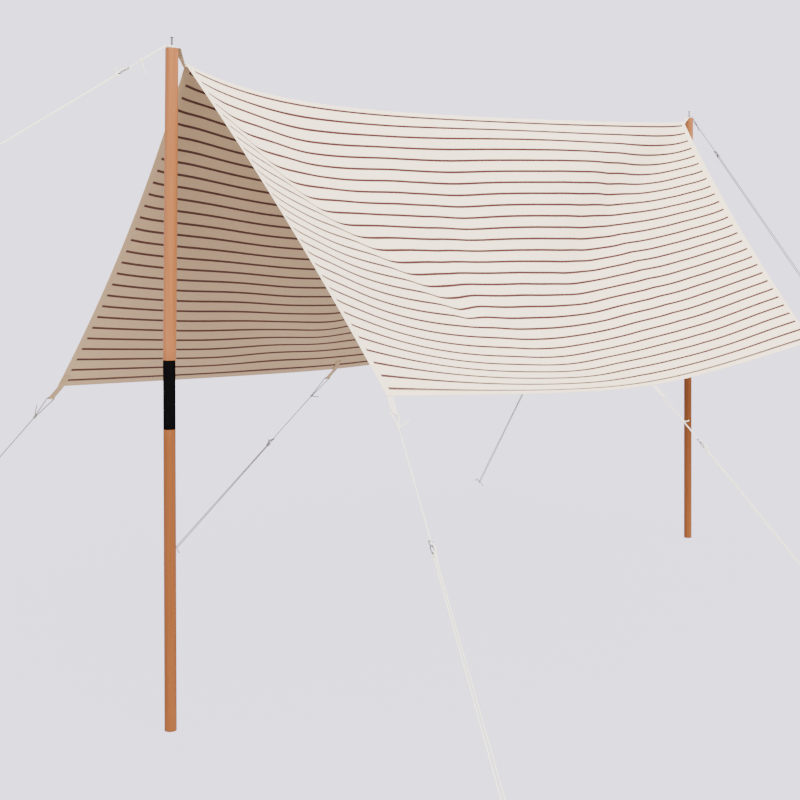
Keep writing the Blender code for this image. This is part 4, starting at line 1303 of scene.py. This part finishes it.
def stitch_row(path, normals):
    """Row of stitches: short bars that dip into the cloth at both ends.

    Each is a six-sided bar of four rings; its height over the cloth is a half
    wave, so its ends go in and its middle stands out.
    """
    rings, sides, length, radius = 4, 6, STITCH_LENGTH, STITCH_RADIUS
    lengths = arc_lengths(path)
    starts = np.arange(STITCH_PITCH, lengths[-1] - STITCH_PITCH, STITCH_PITCH)
    shares = np.linspace(0.0, 1.0, rings)
    spots = (starts[:, None] + (shares * length)[None, :]).ravel()
    at = np.stack([np.interp(spots, lengths, path[:, k]) for k in range(3)], axis=1)
    up = unit(np.stack([np.interp(spots, lengths, normals[:, k]) for k in range(3)], axis=1))
    rise = np.tile(np.sin(math.pi * shares) * radius * 1.3 - radius * 0.6, len(starts))
    at = at + up * rise[:, None]
    tangent = unit(np.stack([np.interp(spots + 1e-4, lengths, path[:, k])
                             - np.interp(spots - 1e-4, lengths, path[:, k])
                             for k in range(3)], axis=1))
    side = unit(np.cross(tangent, up))
    turns = np.arange(sides) * 2 * math.pi / sides
    ring = (np.cos(turns)[None, :, None] * side[:, None, :]
            + np.sin(turns)[None, :, None] * up[:, None, :]) * radius
    grid = (at[:, None, :] + ring).reshape(len(starts), rings, sides, 3)
    one = grid_faces(rings, sides, closed_columns=True)
    last = (rings - 1) * sides
    offsets = (np.arange(len(starts)) * rings * sides)[:, None, None]
    quads = (one[None] + offsets).reshape(-1, 4)
    caps = np.array([[0, 1, 2, 3], [0, 3, 4, 5], [last + 3, last + 2, last + 1, last],
                     [last + 5, last + 4, last + 3, last]])
    quads = np.vstack([quads, (caps[None] + offsets).reshape(-1, 4)])
    local = np.stack(np.meshgrid(shares * length, turns * radius, indexing="ij"), axis=2)
    uvs = np.tile(local.reshape(-1, 2), (len(starts), 1))[quads]
    return outward(quad_shape(grid.reshape(-1, 3), quads, uvs))


# Operators

class CANOPY_OT_sheet(bpy.types.Operator):
    """Build the striped canvas sheet over its frame solid"""
    bl_idname = "canopy.sheet"
    bl_label = "Canvas sheet"

    def execute(self, context):
        settings = context.scene.canopy_sheet_settings
        shape, below = sheet_shape(settings)
        # The second canvas is the under side's copy, with painted shade.
        materials = [canvas_finish(settings, below=False), canvas_finish(settings, below=True)]
        sheet = make_piece("canvas", shape, materials, ("canopy_sheet",),
                           sharp=CLOTH_EDGE, face_materials=below)
        return {"FINISHED"}


class CANOPY_OT_stitching(bpy.types.Operator):
    """Sew the folded borders with a row of stitches on both sides"""
    bl_idname = "canopy.stitching"
    bl_label = "Hem stitching"

    def execute(self, context):
        settings = context.scene.canopy_sheet_settings
        half = (settings.thickness + settings.hem_extra) / 2
        line_in = settings.hem_width - STITCH_INSET
        front, rear = line_in / SHEET_LENGTH, 1 - line_in / SHEET_LENGTH
        low = 1 - line_in / PANEL_WIDTH
        shares, falls = np.linspace(front, rear, 400), np.linspace(0.0, low, 200)
        upper, lower = [], []
        for near in (True, False):
            for alongs, downs in ((shares, np.full_like(shares, low)),
                                  (np.full_like(falls, front), falls),
                                  (np.full_like(falls, rear), falls)):
                up = sheet_up(alongs, downs, near)
                middle = sheet_surface(alongs, downs, near)
                upper.append(stitch_row(middle + up * half, up))
                lower.append(stitch_row(middle - up * half, -up))
        threads = [thread_finish("sewing_thread", 1.0),
                   thread_finish("shaded_thread", THREAD_SHADE)]
        below = np.repeat([0, 1], [sum(len(row["quads"]) for row in rows)
                                   for rows in (upper, lower)])
        make_piece("hem_stitching", joined(upper + lower), threads,
                   face_materials=below)
        return {"FINISHED"}


class CANOPY_OT_straps(bpy.types.Operator):
    """Build the six side straps with their sewn eyes"""
    bl_idname = "canopy.straps"
    bl_label = "Side straps"

    def execute(self, context):
        lit, shaded = webbings(context.scene.canopy_fitting_settings)
        for name in GUYS:
            if "ridge" not in name:
                webbing = lit if name.startswith("near") else shaded
                make_piece(f"{name}_webbing", strap_shape(name), [webbing],
                           (f"{name}_strap",))
        return {"FINISHED"}


class CANOPY_OT_ridge_straps(bpy.types.Operator):
    """Build the two ridge straps over the pole tops, with holes for the pins"""
    bl_idname = "canopy.ridge_straps"
    bl_label = "Ridge straps"

    def execute(self, context):
        lit, shaded = webbings(context.scene.canopy_fitting_settings)
        for front in (True, False):
            label = "front" if front else "rear"
            shape = ridge_strap_shape(front)
            strap = make_piece(f"{label}_ridge_webbing", shape, [lit, shaded],
                               (f"{label}_ridge_strap",), face_materials=turned_down(shape))
            cut_hole(strap, pole_top(front), PIN_HOLE)
        return {"FINISHED"}


class CANOPY_OT_poles(bpy.types.Operator):
    """Turn the wooden halves, the black sleeves and the steel pins"""
    bl_idname = "canopy.poles"
    bl_label = "Poles"

    def execute(self, context):
        timber = context.scene.canopy_timber_settings
        fittings = context.scene.canopy_fitting_settings
        upper = wood_finish("oiled_wood_upper", timber.upper_colour)
        lower = wood_finish("oiled_wood_lower", timber.lower_colour)
        sleeve = sleeve_finish(tuple(fittings.sleeve_colour))
        materials = (upper, lower, sleeve, bright_steel(fittings))
        for label in ("front", "rear"):
            self.turn_pole(label, timber.chamfer, materials)
        return {"FINISHED"}

    @staticmethod
    def turn_pole(label, chamfer, materials):
        """Halves, sleeve and pin of one pole, each on its frame solid's own axis."""
        upper, lower, sleeve, steel = materials
        names = {part: f"{label}_pole_{part}" for part in ("upper", "lower", "sleeve", "pin")}
        axes = {part: node_axis(names[part]) for part in names}
        sleeve_low, sleeve_high = (corner[2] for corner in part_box(names["sleeve"]))
        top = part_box(names["upper"])[1][2]
        upper_radius = ring_radius(names["upper"], top - 0.5, axes["upper"])
        lower_radius = ring_radius(names["lower"], 0.4, axes["lower"])
        quarter = np.linspace(0.0, math.pi / 2, 7)
        crown = [(top - chamfer + chamfer * math.sin(a),
                  upper_radius - chamfer + chamfer * math.cos(a)) for a in quarter]
        body = [(z, upper_radius)
                for z in np.linspace(sleeve_high + SHOULDER_HEIGHT, top - 0.006, 24)]
        shape = lathe([(sleeve_high + GAP, upper_radius - SHOULDER)] + body + crown,
                      axes["upper"])
        make_piece(f"{label}_upper_half", shape, [upper], (names["upper"],), TURNED_EDGE)
        foot_curve = chamfer * 0.5
        foot = [(foot_curve - foot_curve * math.cos(a),
                 lower_radius - foot_curve + foot_curve * math.sin(a)) for a in quarter]
        body = [(z, lower_radius)
                for z in np.linspace(0.004, sleeve_low - SHOULDER_HEIGHT, 24)]
        shape = lathe(foot + body + [(sleeve_low - GAP, lower_radius - SHOULDER)], axes["lower"])
        make_piece(f"{label}_lower_half", shape, [lower], (names["lower"],), TURNED_EDGE)
        sleeve_radius = ring_radius(names["sleeve"], sleeve_low, axes["sleeve"])
        lip = SLEEVE_LIP
        body = [(z, sleeve_radius) for z in np.linspace(sleeve_low + lip, sleeve_high - lip, 8)]
        shape = lathe([(sleeve_low, sleeve_radius - lip)] + body
                      + [(sleeve_high, sleeve_radius - lip)], axes["sleeve"])
        make_piece(f"{label}_sleeve", shape, [sleeve], (names["sleeve"],), TURNED_EDGE)
        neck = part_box(names["pin"])[1][2] - PIN_HEAD_HEIGHT
        head = [(neck + PIN_HEAD_HEIGHT / 2 * (1 + math.sin(a)),
                 PIN_HEAD_RADIUS * math.cos(a) ** 0.5) for a in quarter[:-1]]
        shape = lathe([(top - 0.002, PIN_RADIUS), (neck - 0.001, PIN_RADIUS),
                       (neck, PIN_RADIUS * 1.15), (neck + 0.0002, PIN_HEAD_RADIUS * 0.95)] + head,
                      axes["pin"], PIN_SIDES)
        make_piece(f"{label}_pin", shape, [steel], (names["pin"],), TURNED_EDGE)


def node_points(node):
    """Points of a frame solid's mesh."""
    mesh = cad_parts[node].data
    points = np.empty(len(mesh.vertices) * 3, np.float32)
    mesh.vertices.foreach_get("co", points)
    return points.reshape(-1, 3).astype(float)


def node_axis(node):
    """Axis of a turned frame solid: a straight line through its end rings' middles."""
    points = node_points(node)
    low, high = points[:, 2].min(), points[:, 2].max()
    ends = []
    for height in (low, high):
        ring = points[np.abs(points[:, 2] - height) < 1e-4]
        ends.append((ring.min(axis=0) + ring.max(axis=0)) / 2)
    start, stop = ends

    def centre_at(z):
        share = (z - low) / (high - low)
        return mix(start[0], stop[0], share), mix(start[1], stop[1], share)

    return centre_at


def ring_radius(node, height, axis):
    """Outer radius of a turned frame solid at the ring nearest a height."""
    points = node_points(node)
    nearest = points[np.argmin(np.abs(points[:, 2] - height)), 2]
    ring = points[np.abs(points[:, 2] - nearest) < 1e-4]
    x, y = axis(nearest)
    return float(np.hypot(ring[:, 0] - x, ring[:, 1] - y).max())


class CANOPY_OT_guys(bpy.types.Operator):
    """Lay the eight taut guy cords with their knots, loops and tails"""
    bl_idname = "canopy.guys"
    bl_label = "Guy cords"

    def execute(self, context):
        fittings = context.scene.canopy_fitting_settings
        lit = shared(cord_finish, "braided_cord", fittings.cord_colour)
        shaded = shared(cord_finish, "shaded_cord", fittings.shaded_cord_colour)
        for name in GUYS:
            cord = shaded if name in SHADED_GUYS else lit
            make_piece(f"{name}_cord", guy_shape(name, fittings.cord_radius), [cord],
                       (f"{name}_guy",), BAR_EDGE)
        return {"FINISHED"}


class CANOPY_OT_tensioners(bpy.types.Operator):
    """Bend the eight figure-of-eight tensioners"""
    bl_idname = "canopy.tensioners"
    bl_label = "Tensioners"

    def execute(self, context):
        steel = bright_steel(context.scene.canopy_fitting_settings)
        for name in GUYS:
            make_piece(f"{name}_figure_eight", tensioner_shape(name), [steel],
                       (f"{name}_tensioner",), BAR_EDGE)
        return {"FINISHED"}


class CANOPY_OT_pegs(bpy.types.Operator):
    """Bend the eight hooked ground pegs"""
    bl_idname = "canopy.pegs"
    bl_label = "Pegs"

    def execute(self, context):
        zinc = shared(steel_finish, "zinc_steel", ZINC_COLOUR, ZINC_ROUGHNESS)
        for name in GUYS:
            make_piece(f"{name}_hook_peg", peg_shape(name), [zinc],
                       (f"{name}_peg",), BAR_EDGE)
        return {"FINISHED"}


class CANOPY_OT_stage(bpy.types.Operator):
    """Set the pale floor, the soft lights, the sky and the camera"""
    bl_idname = "canopy.stage"
    bl_label = "Stage"

    def execute(self, context):
        settings = context.scene.canopy_stage_settings
        self.make_floor(tuple(settings.floor_colour), settings.sky_strength)
        self.make_sky(context, tuple(settings.floor_colour), settings.sky_strength)
        for name, (strength, degrees, spread, colour) in SUNS.items():
            self.make_sun(name, getattr(settings, strength), degrees, spread, colour)
        self.make_camera(context, settings)
        return {"FINISHED"}

    @staticmethod
    def make_floor(colour, strength):
        """Wide disc just under the feet, as bright as the sky wherever no shadow lies."""
        turns = np.arange(FLOOR_SIDES) * 2 * math.pi / FLOOR_SIDES
        ring = np.stack([FLOOR_RADIUS * np.cos(turns), FLOOR_RADIUS * np.sin(turns),
                         np.full(FLOOR_SIDES, FLOOR_LEVEL)], axis=1)
        mesh = bpy.data.meshes.new("floor")
        mesh.from_pydata([tuple(point) for point in ring], [], [tuple(range(FLOOR_SIDES))])
        finish = Finish("pale_floor", 1.0)
        finish.set("Specular IOR Level", 0.0)
        tone = finish.noise(finish.place(), 0.6, 2.0)
        low, high = (tuple(c * share for c in colour) for share in FLOOR_TONES)
        finish.feed("Base Color", finish.blend(finish.span(tone, 0.3, 0.7), low, high))
        finish.set("Emission Color", (*colour, 1.0))
        finish.set("Emission Strength", strength * FLOOR_GLOW)
        mesh.materials.append(finish.material)
        floor = bpy.data.objects.new("floor", mesh)
        bpy.context.scene.collection.objects.link(floor)

    @staticmethod
    def make_sky(context, colour, strength):
        world = bpy.data.worlds.new("studio")
        context.scene.world = world
        world.use_nodes = True
        background = world.node_tree.nodes["Background"]
        background.inputs["Color"].default_value = (*colour, 1.0)
        background.inputs["Strength"].default_value = strength

    @staticmethod
    def make_sun(name, strength, degrees, spread, colour):
        light = bpy.data.lights.new(name, "SUN")
        light.energy = strength
        light.angle = math.radians(spread)
        light.color = colour
        lamp = bpy.data.objects.new(name, light)
        lamp.rotation_euler = [math.radians(turn) for turn in degrees]
        bpy.context.scene.collection.objects.link(lamp)

    @staticmethod
    def make_camera(context, settings):
        """Level camera that looks right of +Y, with its frame shifted down."""
        camera = bpy.data.cameras.new("camera")
        camera.sensor_width = SENSOR_WIDTH
        camera.lens = settings.focal_pixels / FRAME_PIXELS * SENSOR_WIDTH
        camera.shift_y = CAMERA_SHIFT
        camera.clip_end = VIEW_LIMIT
        holder = bpy.data.objects.new("camera", camera)
        holder.location = settings.camera_place
        holder.rotation_euler = (math.radians(90.0), 0.0, math.radians(CAMERA_HEADING))
        context.scene.collection.objects.link(holder)
        context.scene.camera = holder


class CANOPY_PT_panel(bpy.types.Panel):
    """Buttons for each group of pieces, with their sizes and colours"""
    bl_idname = "CANOPY_PT_panel"
    bl_label = "Market canopy"
    bl_space_type = "VIEW_3D"
    bl_region_type = "UI"
    bl_category = "Canopy"

    def draw(self, context):
        for operator in OPERATORS:
            self.layout.operator(operator.bl_idname)
        for name, group in SETTINGS.items():
            box = self.layout.box()
            for key in group.__annotations__:
                box.prop(getattr(context.scene, name), key)


OPERATORS = (
    CANOPY_OT_stage, CANOPY_OT_sheet, CANOPY_OT_stitching, CANOPY_OT_straps,
    CANOPY_OT_ridge_straps, CANOPY_OT_poles, CANOPY_OT_guys, CANOPY_OT_tensioners,
    CANOPY_OT_pegs,
)


def register():
    for item in (*SETTINGS.values(), *OPERATORS, CANOPY_PT_panel):
        bpy.utils.register_class(item)
    for name, group in SETTINGS.items():
        setattr(bpy.types.Scene, name, bpy.props.PointerProperty(type=group))


def unregister():
    for name in SETTINGS:
        delattr(bpy.types.Scene, name)
    for item in reversed((*SETTINGS.values(), *OPERATORS, CANOPY_PT_panel)):
        bpy.utils.unregister_class(item)


def main():
    register()
    bpy.ops.canopy.stage()
    bpy.ops.canopy.sheet()
    bpy.ops.canopy.stitching()
    bpy.ops.canopy.straps()
    bpy.ops.canopy.ridge_straps()
    bpy.ops.canopy.poles()
    bpy.ops.canopy.guys()
    bpy.ops.canopy.tensioners()
    bpy.ops.canopy.pegs()


if __name__ == "__main__":
    main()
